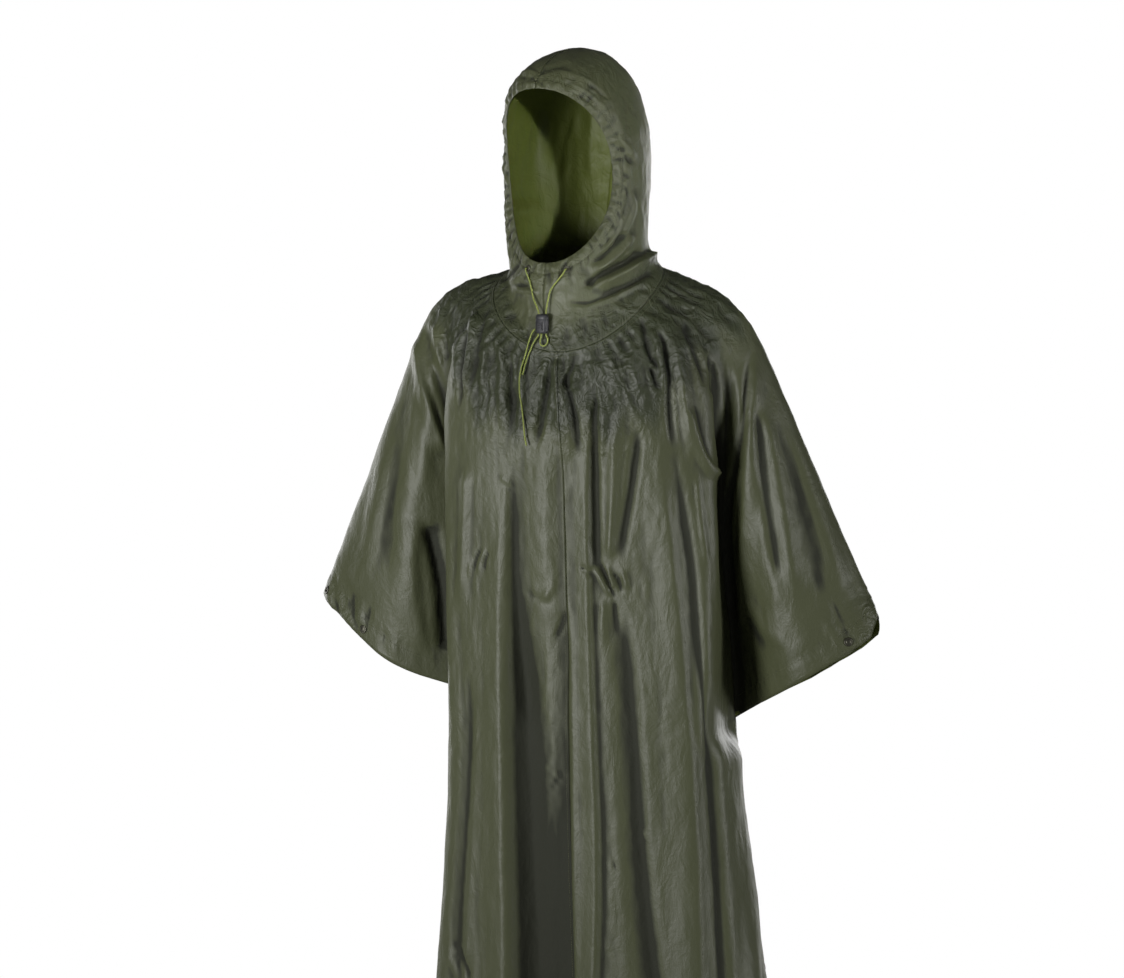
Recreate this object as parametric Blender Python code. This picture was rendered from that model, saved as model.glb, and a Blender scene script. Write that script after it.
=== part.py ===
"""Rain poncho, worn: two body halves of thin coated cloth seamed down the centre, wide open sleeves made by
the corners of the cloth, a hood in two halves turned a little to the wearer's right, its drawcord and cord
lock, and snaps down the sides. Metres, +Z up, the front faces -Y, the wearer's left is +X. The origin is
between the tops of the shoulders, where the wearer holds it. Tables are in millimetres."""

import math

import bmesh
import bpy
import numpy as np
from mathutils import Matrix, Vector
from mathutils.bvhtree import BVHTree

MM = 0.001

# Cloth
WALL = 1.5 * MM  # a wall that stands for the thin coated cloth and its turned hems
SEAM_GAP = 0.5 * MM  # between cloth pieces along a seam
LAY_GAP = 0.35 * MM  # between cloth and what lies on it

# How many faces each stretch of a ring and each step between two rows takes
FRONT_COLUMNS = 17
SLEEVE_COLUMNS = 9
BACK_COLUMNS = 14
HOOD_COLUMNS = 22
HOOD_ROWS = 2
BODY_ROWS = 2
DENSE_STEPS = 24  # points of a dense curve for each key point
DENSE_POINTS = 240  # and of one along a whole route or neck edge

# Hood: a row for each ring from the face opening to the neck seam. The ring's top lies on the crown seam and
# its bottom on the seam under the chin; bow moves its sides forward and up, square makes it fuller than an
# ellipse and taper narrows it towards the chin.
HOOD_COLUMN_NAMES = (
    "top_y", "top_z", "bottom_y", "bottom_z", "half_width", "bow", "square", "taper", "turn",
)
HOOD_RINGS = (
    (-146, 268, -119, 24, 92, -50, 0.88, 0.08, 14),
    (-130, 294, -123, 4, 111, -52, 0.90, 0.14, 14),
    (-98, 315, -125, -18, 118, -42, 0.93, 0.18, 14),
    (-52, 329, -127, -38, 117, -28, 0.96, 0.18, 13),
    (2, 325, -128, -55, 113, -14, 0.98, 0.15, 12),
    (46, 290, -130, -68, 109, -2, 0.98, 0.12, 11),
    (66, 220, -131, -79, 105, 8, 0.98, 0.09, 9),
    (64, 140, -132, -88, 103, 18, 1.00, 0.06, 6),
    (58, 70, -132, -95, 107, 29, 1.00, 0.03, 3),
    (74, 22, -132, -101, 124, 40, 1.00, 0, 0),
)
HOOD_AXIS_Y = -20  # the hood turns about this line
NECK_CLEAR = 0.04  # the hood ends this share of a row above the body's edge, so that their walls stay apart

# Folds of the hood: a row for each ridge, from its upper end to its lower one, with its half width and
# height. It is full in the middle of its length and fades towards its ends.
HOOD_FOLD_COLUMN_NAMES = ("side", "top_x", "top_y", "top_z", "low_x", "low_y", "low_z", "width", "height")
HOOD_FOLDS = (
    (1, 112, -66, 38, 42, -122, -4, 15, 8),
    (1, 96, -92, -8, 30, -131, -52, 14, 5),
    (-1, -96, -74, 22, -52, -116, -30, 14, 6),
    (-1, -98, 20, 60, -60, 62, 36, 14, 5),
    (1, 98, 22, 62, 52, 66, 38, 14, 6),
)
HOOD_FOLD_FADE = 0.2  # share of a ridge's length that each fade takes
HOOD_FOLD_END = 0.2  # how far it has faded in at its very end

# Body: a row for each ring from below the neck seam to the hem. front, under, reach and back are points of
# the ring: the centre front, the fold between body and sleeve, the fold on top of the sleeve and the centre
# back. gap is the way from the front under point to the back one, and under zero the two edges lap. puff
# fills the sleeve.
BODY_COLUMN_NAMES = (
    "seam_x", "front_y", "front_z", "width", "wide_y", "under_x", "under_y", "under_z", "gap",
    "reach", "reach_y", "reach_z", "puff", "back_y", "back_z",
)
BODY_RINGS = (
    (2, -131, -160, 156, -76, 168, -62, -60, 130, 170, 0, -8, 7, 104, -18),
    (3, -127, -218, 186, -64, 197, -46, -108, 108, 212, 5, -33, 10, 117, -68),
    (4, -121, -280, 204, -52, 208, -27, -172, 90, 247, 10, -76, 18, 123, -132),
    (4, -115, -352, 209, -44, 199, -8, -255, 66, 289, 18, -166, 34, 126, -222),
    (4, -109, -440, 210, -38, 189, 10, -368, 46, 343, 33, -288, 48, 130, -340),
    (4, -104, -530, 210, -34, 186, 24, -492, 24, 386, 43, -382, 54, 134, -465),
    (2, -101, -618, 208, -30, 185, 36, -614, 0, 422, 50, -470, 50, 140, -600),
    (2, -98, -735, 211, -26, 189, 40, -735, -22, 0, 0, 0, 0, 148, -733),
    (3, -95, -862, 220, -23, 202, 44, -862, -24, 0, 0, 0, 0, 158, -862),
    (5, -92, -990, 233, -20, 219, 48, -990, -24, 0, 0, 0, 0, 168, -990),
    (6, -88, -1117, 245, -17, 235, 52, -1117, -24, 0, 0, 0, 0, 178, -1117),
)
CUFF_ROW = 7  # counted from the neck seam: below it the sleeve's columns end
OPENED_ROWS = 0.6  # how far below it the side edges take to lie along each other
LAP_OFFSET = 2.75  # half the distance between the lapped side edges
BACK_WIDEST = 36  # the back is widest this far behind the back under point
GAP_RISE = 0.28  # how far the back under point lies above the front one, for each unit of gap
LEFT_SLEEVE_DROP = 24  # the left sleeve hangs this much lower at its cuff
RIGHT_SLEEVE_REACH = 19  # and the right one stands this much further out
RIGHT_SHOULDER_RISE = 8  # and its shoulder is this much higher
RIGHT_CUFF_SAG = 18  # the cuff's edges sag between the fold and the side
LEFT_CUFF_SAG = 7
DROP_REACH = (250, 427)  # drop and sag grow while the sleeve's reach does between these
STAND_REACH = (110, 210)  # the right sleeve's further reach grows between these
RISE_REACH = (200, 320)  # and the right shoulder's rise fades between these
LAP_GAP = 40  # the side edges begin to lap under this gap
LEFT_LAP_SHIFT = (5, 51)  # the left side's lap lies this much further out and back,
LEFT_LAP_TURN = 28  # turned by this many degrees towards the back,
LEFT_BACK_IN = 22  # and the back is this much narrower there
LEFT_BACK_FORWARD = 30  # and widest this much nearer to the lap
LEFT_LAP_GAP = (8, 58)  # all this begins under the greater gap and is whole under the smaller
PUFF_OUT = 0.1  # share of the puff that goes sideways

# Angles on the neck ring of a body ring's key points from front to back, in degrees from the crown side
NECK_ANGLES = (180, 160, 140, 120, 104, 86, 68, 57, 46, 36, 24, 12, 0)
OVAL_ANGLES = (28, 52, 76)  # key points of the front and back ovals, in degrees from the centre line
OVAL_SQUARE = 0.86
FRONT_KEY = 4  # place of the front under point
REACH_KEY = 6  # of the sleeve's fold
BACK_KEY = 8  # and of the back under point

# Folds of the body: a row for each ridge, with its place across and up at its two ends, where it fades.
FOLD_COLUMN_NAMES = ("top_x", "top_z", "low_x", "low_z", "top_width", "low_width", "height")
HEM_END = -1400  # a fold that ends here is still at full height at the hem
FOLD_FADE = 110  # how far down a fold takes to reach its height
FOLD_OPENS = 0.62  # share of its length over which a fold goes from its upper width to its lower one
EDGE_FADE = 4  # columns over which the folds fade towards the side
FRONT_FOLDS = (
    (-96, -120, -94, HEM_END, 26, 52, 15),
    (-112, -330, -186, -900, 22, 34, 8),
    (-142, -60, -176, -420, 22, 34, 9),
    (18, -110, 50, HEM_END, 24, 46, 12),
    (100, -150, 72, -540, 34, 20, 12),
    (150, -90, 196, HEM_END, 26, 52, 14),
    (118, -90, 176, -330, 16, 22, 6),
    (-40, -140, -26, -560, 24, 30, 5),
)
BACK_FOLDS = (
    (-34, -40, -70, HEM_END, 28, 50, 12),
    (44, -20, 62, HEM_END, 28, 48, 13),
    (-112, -60, -166, HEM_END, 28, 46, 11),
    (128, -70, 172, HEM_END, 28, 48, 12),
    (8, -180, -6, -760, 24, 34, 7),
    (-160, -70, -196, -600, 22, 30, 8),
    (170, -80, 190, -560, 22, 30, 7),
)

# Folds of a sleeve: a place is 0 at the body and 1 at the fold on top of the sleeve
SLEEVE_COLUMN_NAMES = ("start_row", "top_place", "cuff_place", "width", "height")
SLEEVE_FOLDS = (
    (1.5, 0.42, 0.34, 0.13, 8),
    (2.5, 0.78, 0.70, 0.12, 6),
)
SLEEVE_FOLD_FADE = 0.4  # share of its length over which a sleeve's fold grows

# Edges of the cuffs: how far out and up places between the sleeve's fold, 0, and the body, 1, move so that the
# left cuff's corner is rounded
CUFF_SHAPE_ROW = 6  # the cloth begins to move here and is fully moved at the cuff
CUFF_SHAPE_COLUMNS = ("place", "right_out", "right_up", "left_out", "left_up")
CUFF_SHAPE = (
    (0, 5, -1, -5, 21),
    (0.11, 6, -1, 13, 3),
    (0.22, 3, 0, 12, -1),
    (0.5, 3, -1, 8, 2),
    (0.7, 3, -2, 5, 3),
    (1, 0, 0, 0, 0),
)

# Drawcord: route points of each stretch. It comes out of the hood's two eyelets, runs down through the lock,
# makes a small loop under it and hangs down the front in a long and a short end.
CORD_DIAMETER = 2.3 * MM
CORD_STEP = 5.75  # between the points of a tube
CORD_ROUTES = {
    "cord_right": (
        (-55.2, -108.6, 16.8), (-56.4, -111.6, 16.0), (-54.2, -114.2, 10.0), (-49.6, -116.4, 1.0),
        (-44.6, -120.0, -13.0), (-39.6, -124.6, -27.0), (-32.4, -130.4, -38.4), (-28.6, -133.8, -45.6),
        (-28.3, -134.4, -48.1),
    ),
    "cord_left": (
        (10.2, -124.6, 15.2), (9.8, -127.8, 14.6), (7.4, -129.0, 10.0), (2.6, -128.8, 4.0),
        (-5.6, -128.9, -5.6), (-12.2, -129.2, -14.4), (-15.0, -130.2, -25.6), (-16.6, -132.6, -37.6),
        (-17.0, -134.3, -45.6), (-17.1, -134.7, -48.1),
    ),
    "cord_loop": (
        (-16.8, -135.2, -75.9), (-16.4, -135.2, -78.4), (-14.6, -135.4, -82.4), (-14.2, -135.5, -86.6),
        (-17.0, -135.6, -91.6), (-21.4, -135.4, -93.2), (-25.2, -135.1, -90.6), (-25.4, -135.0, -85.4),
        (-24.2, -135.0, -79.0), (-24.0, -135.0, -75.9),
    ),
    "cord_long_end": (
        (-33.2, -134.8, -69.4), (-37.0, -133.4, -72.4), (-40.8, -131.9, -78.6), (-43.6, -131.8, -86.0),
        (-46.4, -132.4, -97.0), (-50.4, -132.6, -110.0), (-54.8, -132.4, -123.0), (-57.6, -132.2, -136.0),
        (-58.6, -131.8, -150.0), (-57.8, -131.6, -163.0), (-55.6, -131.6, -176.0), (-53.9, -131.4, -189.0),
        (-52.4, -130.9, -206.0), (-50.8, -130.5, -223.0), (-48.2, -130.4, -235.0),
    ),
    "cord_short_end": (
        (-28.4, -134.9, -75.9), (-28.8, -134.8, -78.6), (-32.8, -134.0, -83.6), (-37.6, -133.2, -91.0),
        (-41.6, -132.8, -99.6),
        (-45.4, -132.9, -109.0), (-49.8, -132.9, -122.0), (-53.2, -132.6, -134.4),
    ),
}

# Cord lock: a flattened barrel with a sprung button on its front
LOCK_CENTRE = (-22.5, -135.0, -62.0)
LOCK_TURN = 12  # degrees, facing a little to the wearer's right
LOCK_SIZE = (20, 12.4, 27)
LOCK_PROFILE = (  # height and width as shares of the whole
    (-0.5, 0.74), (-0.47, 0.86), (-0.38, 0.97), (0, 1.0), (0.38, 0.97), (0.47, 0.86), (0.5, 0.74),
)
LOCK_SIDES = 20
LOCK_SQUARE = 0.8  # below one, its outline is fuller than an oval
BUTTON_SIZE = (8.5, 2.6, 12)
BUTTON_DROP = 3.5  # below the barrel's middle
BUTTON_BEVEL = 1.0

# Metal trim: profiles as radius and height above the cloth, from the outer edge round
TRIM_SIDES = 14
EYELET_PROFILE = ((2.7, 0), (5.6, 0), (5.4, 1.0), (4.2, 1.6), (2.9, 1.1))
CUFF_EYELET_PROFILE = ((3.2, 0), (6.6, 0), (6.4, 1.0), (5.0, 1.7), (3.4, 1.1))
SNAP_PROFILE = ((0, 0), (6.5, 0), (6.4, 0.9), (4.6, 1.9), (0, 2.2))
SOCKET_PROFILE = ((0, 0), (5.4, 0), (5.3, 1.4), (3.0, 1.6), (0, 1.6))
HOOD_EYELETS = {"right": (-54.7, -107.3, 16.6), "left": (10.3, -123.2, 15.1)}
SIDE_SNAPS_Z = (-695, -850, -1005)
SIDE_RAY_START = 400 * MM  # outside the cloth
CUFF_SNAP_COLUMN = {"right": 3.3, "left": 1.9}  # columns in from the sleeve's fold
CUFF_EYELET_COLUMN = {"right": 0.5, "left": -0.6}  # the same, to the front
CUFF_TRIM_ROW = 0.14  # rows up from the cuff's edge


def table(names, rows):
    """Each named column of a table, as an array."""
    return dict(zip(names, np.array(rows, float).T))


def named_rows(names, rows):
    """Each row of a table, with its columns by name."""
    return [dict(zip(names, row)) for row in rows]


def spline(keys, values, at):
    """Values read from a smooth curve through the key values."""
    keys, values, at = np.asarray(keys, float), np.asarray(values, float), np.asarray(at, float)
    slopes = np.gradient(values, keys, axis=0)
    place = np.clip(np.searchsorted(keys, at, side="right") - 1, 0, len(keys) - 2)
    span = keys[place + 1] - keys[place]
    t = (at - keys[place]) / span
    shape = (-1,) + (1,) * (values.ndim - 1)
    span, t = span.reshape(shape), t.reshape(shape)
    start, end = values[place], values[place + 1]
    return (
        (1 + 2 * t) * (1 - t) ** 2 * start
        + t * (1 - t) ** 2 * span * slopes[place]
        + t * t * (3 - 2 * t) * end
        + t * t * (t - 1) * span * slopes[place + 1]
    )


def ease(value):
    """A smooth step from 0 to 1."""
    value = np.clip(value, 0, 1)
    return value * value * (3 - 2 * value)


def ease_over(value, limits):
    """A smooth step while the value goes from the first limit to the second."""
    return ease((value - limits[0]) / (limits[1] - limits[0]))


def power(value, exponent):
    return np.sign(value) * np.abs(value) ** exponent


def turned(points, degrees):
    """Points turned about the hood's upright axis."""
    angle = np.radians(-degrees)
    x, y = points[..., 0], points[..., 1] - HOOD_AXIS_Y
    out = points.copy()
    out[..., 0] = x * np.cos(angle) - y * np.sin(angle)
    out[..., 1] = x * np.sin(angle) + y * np.cos(angle) + HOOD_AXIS_Y
    return out


def hood_ring(place, angles, side):
    """Points of the hood's ring at a place in its table, at angles from its top."""
    columns = table(HOOD_COLUMN_NAMES, HOOD_RINGS)
    at = {
        name: spline(np.arange(len(HOOD_RINGS)), column, [place])[0] for name, column in columns.items()
    }
    middle = np.array([at["top_y"] + at["bottom_y"], at["top_z"] + at["bottom_z"]]) / 2
    half = np.array([at["top_y"] - at["bottom_y"], at["top_z"] - at["bottom_z"]]) / 2
    across = np.array([-half[1], half[0]]) / np.hypot(*half)
    angles = np.radians(np.asarray(angles, float))
    along = power(np.cos(angles), at["square"])[:, None]
    flat = middle + along * half + (at["bow"] * np.sin(angles) ** 2)[:, None] * across
    narrowed = 1 - at["taper"] * (1 - np.cos(angles)) / 2
    wide = side * at["half_width"] * narrowed * power(np.sin(angles), at["square"])
    return turned(np.column_stack([wide, flat]), at["turn"])


def oval_points(width, end_y, end_z, widest_y, side_z):
    """Key points of the front or back oval, from the centre line to the widest place."""
    angles = np.radians(OVAL_ANGLES)
    x = width * power(np.sin(angles), OVAL_SQUARE)
    y = widest_y + (end_y - widest_y) * power(np.cos(angles), OVAL_SQUARE)
    z = end_z + (side_z - end_z) * np.sin(angles) ** 2
    return np.column_stack([x, y, z])


def lap_axes(degrees):
    """The directions along and out of a lap that is turned towards the back."""
    angle = math.radians(degrees)
    return np.array([-math.sin(angle), math.cos(angle), 0]), np.array([math.cos(angle), math.sin(angle), 0])


def body_keys(row, side):
    """The 13 key points of one half ring, from the centre front to the centre back."""
    sleeve = row["reach"] > 0
    raised = ease_over(row["reach"], DROP_REACH)
    drop = LEFT_SLEEVE_DROP * raised if side > 0 else 0
    more = RIGHT_SLEEVE_REACH * ease_over(row["reach"], STAND_REACH) if side < 0 else 0
    rise = RIGHT_SHOULDER_RISE * (1 - ease_over(row["reach"], RISE_REACH)) if side < 0 else 0
    closed = ease(1 - row["gap"] / LAP_GAP)
    left = 1 - ease_over(row["gap"], LEFT_LAP_GAP) if side > 0 else 0
    along, out = lap_axes(LEFT_LAP_TURN * left)
    shift = np.array([*LEFT_LAP_SHIFT, 0]) * left
    middle = np.array([row["under_x"], row["under_y"], row["under_z"] - drop]) + shift
    front_under = middle + out * LAP_OFFSET * closed - along * min(row["gap"], 0) / 2
    back_under = front_under - 2 * out * LAP_OFFSET * closed + along * row["gap"]
    back_under[2] += GAP_RISE * max(row["gap"], 0)
    front = oval_points(row["width"], row["front_y"], row["front_z"], row["wide_y"], front_under[2])
    back_widest_y = back_under[1] + BACK_WIDEST - LEFT_BACK_FORWARD * left - min(row["gap"], 0)
    back_width = row["width"] - LEFT_BACK_IN * left
    back = oval_points(back_width, row["back_y"], row["back_z"], back_widest_y, back_under[2])
    reach = np.array([row["reach"] + more, row["reach_y"], row["reach_z"] + rise - drop])
    sag = raised * (LEFT_CUFF_SAG if side > 0 else RIGHT_CUFF_SAG)
    fill = np.array([PUFF_OUT * row["puff"], -row["puff"], -sag])
    front_fill = (front_under - shift + reach) / 2 + fill
    back_fill = (back_under - shift + reach) / 2 + fill * [1, -1, 1]
    if not sleeve:
        reach = front_fill = back_fill = (front_under + back_under) / 2
    keys = np.vstack([
        [[0, row["front_y"], row["front_z"]]],
        front,
        [front_under, front_fill, reach, back_fill, back_under],
        back[::-1],
        [[0, row["back_y"], row["back_z"]]],
    ])
    past_under = max(row["reach"] - row["under_x"], 1)
    spare = np.clip((row["reach"] - keys[:, 0]) / past_under, 0, 1) if sleeve else 1
    keys[:, 0] = side * keys[:, 0] + row["seam_x"] * spare
    return keys


def along_curve(points, start, count, trim):
    """Points evenly spaced along a dense curve between two of its key places."""
    reach = np.concatenate([[0], np.cumsum(np.linalg.norm(np.diff(points, axis=0), axis=1))])
    at = np.linspace(trim[0], reach[-1] - trim[1], count + 1)
    return np.column_stack([np.interp(at, reach, points[:, axis]) for axis in range(3)])[start:]


def chord_curve(points, first, last):
    """A dense smooth curve through the points from one to another, keyed by the distance along them."""
    keys = np.concatenate([[0], np.cumsum(np.linalg.norm(np.diff(points, axis=0), axis=1))])
    return spline(keys, points, np.linspace(keys[first], keys[last], DENSE_POINTS))


def key_curve(points, first, last):
    """A dense smooth curve through evenly keyed points from one of them to another."""
    at = np.linspace(first, last, (last - first) * DENSE_STEPS + 1)
    return spline(np.arange(len(points)), points, at)


def half_ring(keys, side, opened):
    """One ring's points at the sheet's columns, from the centre front to the centre back. opened is 0 for a
    ring with a sleeve and grows to 1 below it, where the ring ends at its two side edges."""
    half_gap = SEAM_GAP / MM / 2
    mirror = [2 * keys[0, 0], 0, 0] + keys[1] * [-1, 1, 1], [2 * keys[-1, 0], 0, 0] + keys[-2] * [-1, 1, 1]
    full = np.vstack([mirror[0], keys, mirror[1]])
    cuts = [1, FRONT_KEY + 1, REACH_KEY + 1, BACK_KEY + 1, len(keys)]
    counts = (FRONT_COLUMNS, SLEEVE_COLUMNS, SLEEVE_COLUMNS, BACK_COLUMNS)
    trims = ((half_gap, 0), (0, 0), (0, 0), (0, half_gap))
    curves = [key_curve(full, first, last) for first, last in zip(cuts, cuts[1:])]
    parts = [along_curve(curve, 0, count, trim) for curve, count, trim in zip(curves, counts, trims)]
    if opened:
        edge, back_edge = keys[FRONT_KEY], keys[BACK_KEY]
        along = lap_axes(LEFT_LAP_TURN if side > 0 else 0)[0]
        lap = along * ((edge - back_edge) @ along)
        front = np.vstack([mirror[0], keys[:FRONT_KEY], edge - lap, edge])
        back = np.vstack([back_edge, back_edge + lap, keys[BACK_KEY + 1 :], mirror[1]])
        for place, points, first, last in ((0, front, 1, len(front) - 1), (3, back, 0, len(back) - 2)):
            lapped = along_curve(chord_curve(points, first, last), 0, counts[place], trims[place])
            parts[place] += (lapped - parts[place]) * opened
        parts[1][:], parts[2][:] = np.nan, np.nan
        parts[2][-1] = parts[3][0]  # the back edge's own point, which a ring with a sleeve shares
    return np.vstack([part[1 if place else 0 :] for place, part in enumerate(parts)])


def neck_ring(side):
    """The body's first ring, on the neck seam, at the sheet's columns."""
    cuts = [NECK_ANGLES[key] for key in (0, FRONT_KEY, REACH_KEY, BACK_KEY, len(NECK_ANGLES) - 1)]
    counts = FRONT_COLUMNS, SLEEVE_COLUMNS, SLEEVE_COLUMNS, BACK_COLUMNS
    half_gap = SEAM_GAP / MM / 2
    out = []
    for place, count in enumerate(counts):
        angles = np.linspace(cuts[place], cuts[place + 1], DENSE_POINTS)
        dense = hood_ring(len(HOOD_RINGS) - 1, angles, side)
        trim = (half_gap if place == 0 else 0, half_gap if place == 3 else 0)
        out.append(along_curve(dense, 1 if place else 0, count, trim))
    return np.vstack(out)


def cuff_shift(side, rows):
    """How far each point of the body's grid moves to shape the cuff's edge."""
    word = "left" if side > 0 else "right"
    shape = table(CUFF_SHAPE_COLUMNS, CUFF_SHAPE)
    columns = np.arange(FRONT_COLUMNS + 2 * SLEEVE_COLUMNS + BACK_COLUMNS + 1)
    away = np.abs(columns - FRONT_COLUMNS - SLEEVE_COLUMNS) / SLEEVE_COLUMNS
    out, up = [np.interp(away, shape["place"], shape[f"{word}_{way}"]) for way in ("out", "up")]
    grown = ease(rows - CUFF_SHAPE_ROW) * (rows <= CUFF_ROW)
    return grown[:, None, None] * np.stack([side * out, 0 * out, up], axis=-1)


def body_grid(side, rows):
    """The body half's cloth as a grid of points, rows from the neck seam to the hem."""
    neck = hood_ring(len(HOOD_RINGS) - 1, NECK_ANGLES, side)
    rings = [body_keys(row, side) for row in named_rows(BODY_COLUMN_NAMES, BODY_RINGS)]
    key_rows = np.array([neck] + rings)
    count = len(key_rows)
    places = np.arange(count)
    upper = spline(places[: CUFF_ROW + 1], key_rows[: CUFF_ROW + 1], np.minimum(rows, CUFF_ROW))
    whole = spline(places, key_rows, rows)
    rings = [neck_ring(side)]
    for i, row in enumerate(rows[1:], 1):
        keys = whole[i].copy()
        if row <= CUFF_ROW:
            keys[FRONT_KEY + 1 : BACK_KEY] = upper[i][FRONT_KEY + 1 : BACK_KEY]
        rings.append(half_ring(keys, side, ease((row - CUFF_ROW) / OPENED_ROWS)))
    return np.array(rings) + cuff_shift(side, rows)


def bump(distance, width):
    """A smooth ridge of unit height."""
    return np.where(np.abs(distance) < width, np.cos(np.pi / 2 * np.clip(distance / width, -1, 1)) ** 2, 0)


def body_folds(x, z, folds):
    """How far the folds lift the cloth at places across and up."""
    lift = np.zeros_like(x)
    for fold in named_rows(FOLD_COLUMN_NAMES, folds):
        down = np.clip((fold["top_z"] - z) / (fold["top_z"] - fold["low_z"]), 0, 1)
        centre = fold["top_x"] + (fold["low_x"] - fold["top_x"]) * down
        width = fold["top_width"] + (fold["low_width"] - fold["top_width"]) * ease(down / FOLD_OPENS)
        grown = ease((fold["top_z"] - z) / FOLD_FADE) * ease((z - fold["low_z"]) / FOLD_FADE)
        lift += fold["height"] * grown * bump(x - centre, width)
    return lift


def body_lift(side, points, rows):
    """How far each point of the grid is moved out by the folds."""
    lift = np.zeros(points.shape[:2])
    edge = FRONT_COLUMNS, FRONT_COLUMNS + 2 * SLEEVE_COLUMNS
    x, z = np.nan_to_num(points[..., 0]), np.nan_to_num(points[..., 2])
    front = body_folds(x, z, FRONT_FOLDS)
    back = body_folds(x, z, BACK_FOLDS)
    columns = np.arange(points.shape[1])
    on_front = (1 - ease((columns - edge[0] + EDGE_FADE) / EDGE_FADE)) * (columns <= edge[0])
    on_back = (1 - ease((edge[1] + EDGE_FADE - columns) / EDGE_FADE)) * (columns >= edge[1])
    lift += front * on_front + back * on_back
    place = (SLEEVE_COLUMNS - np.abs(columns - edge[0] - SLEEVE_COLUMNS)) / SLEEVE_COLUMNS
    on_sleeve = (columns > edge[0]) & (columns < edge[1])
    for fold in named_rows(SLEEVE_COLUMN_NAMES, SLEEVE_FOLDS):
        down = np.clip((rows - fold["start_row"]) / (CUFF_ROW - fold["start_row"]), 0, 1)[:, None]
        centre = fold["top_place"] + (fold["cuff_place"] - fold["top_place"]) * down
        ridge = bump(place[None, :] - centre, fold["width"])
        lift += on_sleeve * fold["height"] * ease(down / SLEEVE_FOLD_FADE) * ridge
    return lift


def add_object(name, mesh, material):
    """The bmesh as an object of its own."""
    data = bpy.data.meshes.new(name)
    mesh.to_mesh(data)
    mesh.free()
    data.materials.append(material)
    item = bpy.data.objects.new(name, data)
    bpy.context.scene.collection.objects.link(item)
    return item


def cloth_object(name, grid, lift, side, material):
    """A grid of points, where some may be missing, as a sheet with the cloth's wall, lifted along its
    normals. Gives the sheet's tree for laying things on it, and its points."""
    mesh = bmesh.new()
    points = [[None if np.isnan(p[0]) else mesh.verts.new(Vector(p) * MM) for p in row] for row in grid]
    for i in range(len(grid) - 1):
        for j in range(len(grid[0]) - 1):
            corners = points[i][j], points[i + 1][j], points[i + 1][j + 1], points[i][j + 1]
            if None not in corners:
                mesh.faces.new(corners[::side])
    mesh.normal_update()
    for i, row in enumerate(points):
        for j, point in enumerate(row):
            if point is not None and point.link_faces:
                point.co += point.normal * float(lift[i, j]) * MM
    mesh.normal_update()
    places = np.array([[[np.nan] * 3 if p is None else list(p.co) for p in row] for row in points])
    bmesh.ops.delete(mesh, geom=[v for v in mesh.verts if not v.link_faces], context="VERTS")
    tree = BVHTree.FromBMesh(mesh)
    item = add_object(name, mesh, material)
    wall = item.modifiers.new("wall", "SOLIDIFY")
    wall.thickness = WALL
    wall.offset = 0
    wall.use_even_offset = True
    wall.use_quality_normals = True
    return tree, places


def on_grid(places, row, column):
    """A point between the grid's points."""
    i, j = int(row), int(column)
    s, t = row - i, column - j
    near = places[i, j] * (1 - t) + places[i, j + 1] * t
    far = places[i + 1, j] * (1 - t) + places[i + 1, j + 1] * t
    return Vector(near * (1 - s) + far * s)


def room_above(tree, centre, radius):
    """The least distance from the cloth round a place to the next layer of cloth above it."""
    centre, normal = tree.find_nearest(centre)[:2]
    across = normal.orthogonal().normalized() * radius
    sides = across, -across, normal.cross(across), -normal.cross(across)
    feet = [tree.find_nearest(centre + side)[:2] for side in sides]
    return min(tree.ray_cast(foot + out * WALL, out)[3] + WALL for foot, out in feet)


def laid_piece(name, tree, centre, profile, material, face=1):
    """A round piece laid on the cloth: its profile is turned about the centre and each point of it is moved
    out from the cloth below, on the outer face or, with face -1, on the inner one."""
    centre, normal = tree.find_nearest(Vector(centre))[:2]
    across = normal.orthogonal().normalized()
    along = normal.cross(across)
    mesh = bmesh.new()
    rings = []
    for radius, height in profile:
        out = WALL / 2 + LAY_GAP + height * MM
        ring = []
        for k in range(TRIM_SIDES if radius else 1):
            angle = 2 * math.pi * k / TRIM_SIDES
            flat = centre + (across * math.cos(angle) + along * math.sin(angle)) * radius * MM
            foot, foot_normal = tree.find_nearest(flat)[:2]
            ring.append(mesh.verts.new(foot + foot_normal * out * face))
        rings.append(ring)
    closed = profile[0][0] > 0
    for ring, after in zip(rings, rings[1:] + (rings[:1] if closed else [])):
        for k in range(TRIM_SIDES):
            near, far = [r[k % len(r)] for r in (ring, after)], [r[(k + 1) % len(r)] for r in (after, ring)]
            mesh.faces.new(dict.fromkeys(near + far))
    bmesh.ops.recalc_face_normals(mesh, faces=mesh.faces)
    return add_object(name, mesh, material)


def new_material(name, colour, roughness, metallic=0.0):
    material = bpy.data.materials.new(name)
    material.use_nodes = True
    shader = material.node_tree.nodes["Principled BSDF"]
    shader.inputs["Base Color"].default_value = (*colour, 1)
    shader.inputs["Roughness"].default_value = roughness
    shader.inputs["Metallic"].default_value = metallic
    return material


def make_body(side, word, material):
    rows = np.arange(0, len(BODY_RINGS) + 1e-6, 1 / BODY_ROWS)
    grid = body_grid(side, rows)
    return cloth_object(f"body_{word}", grid, body_lift(side, grid, rows), side, material)


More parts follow.
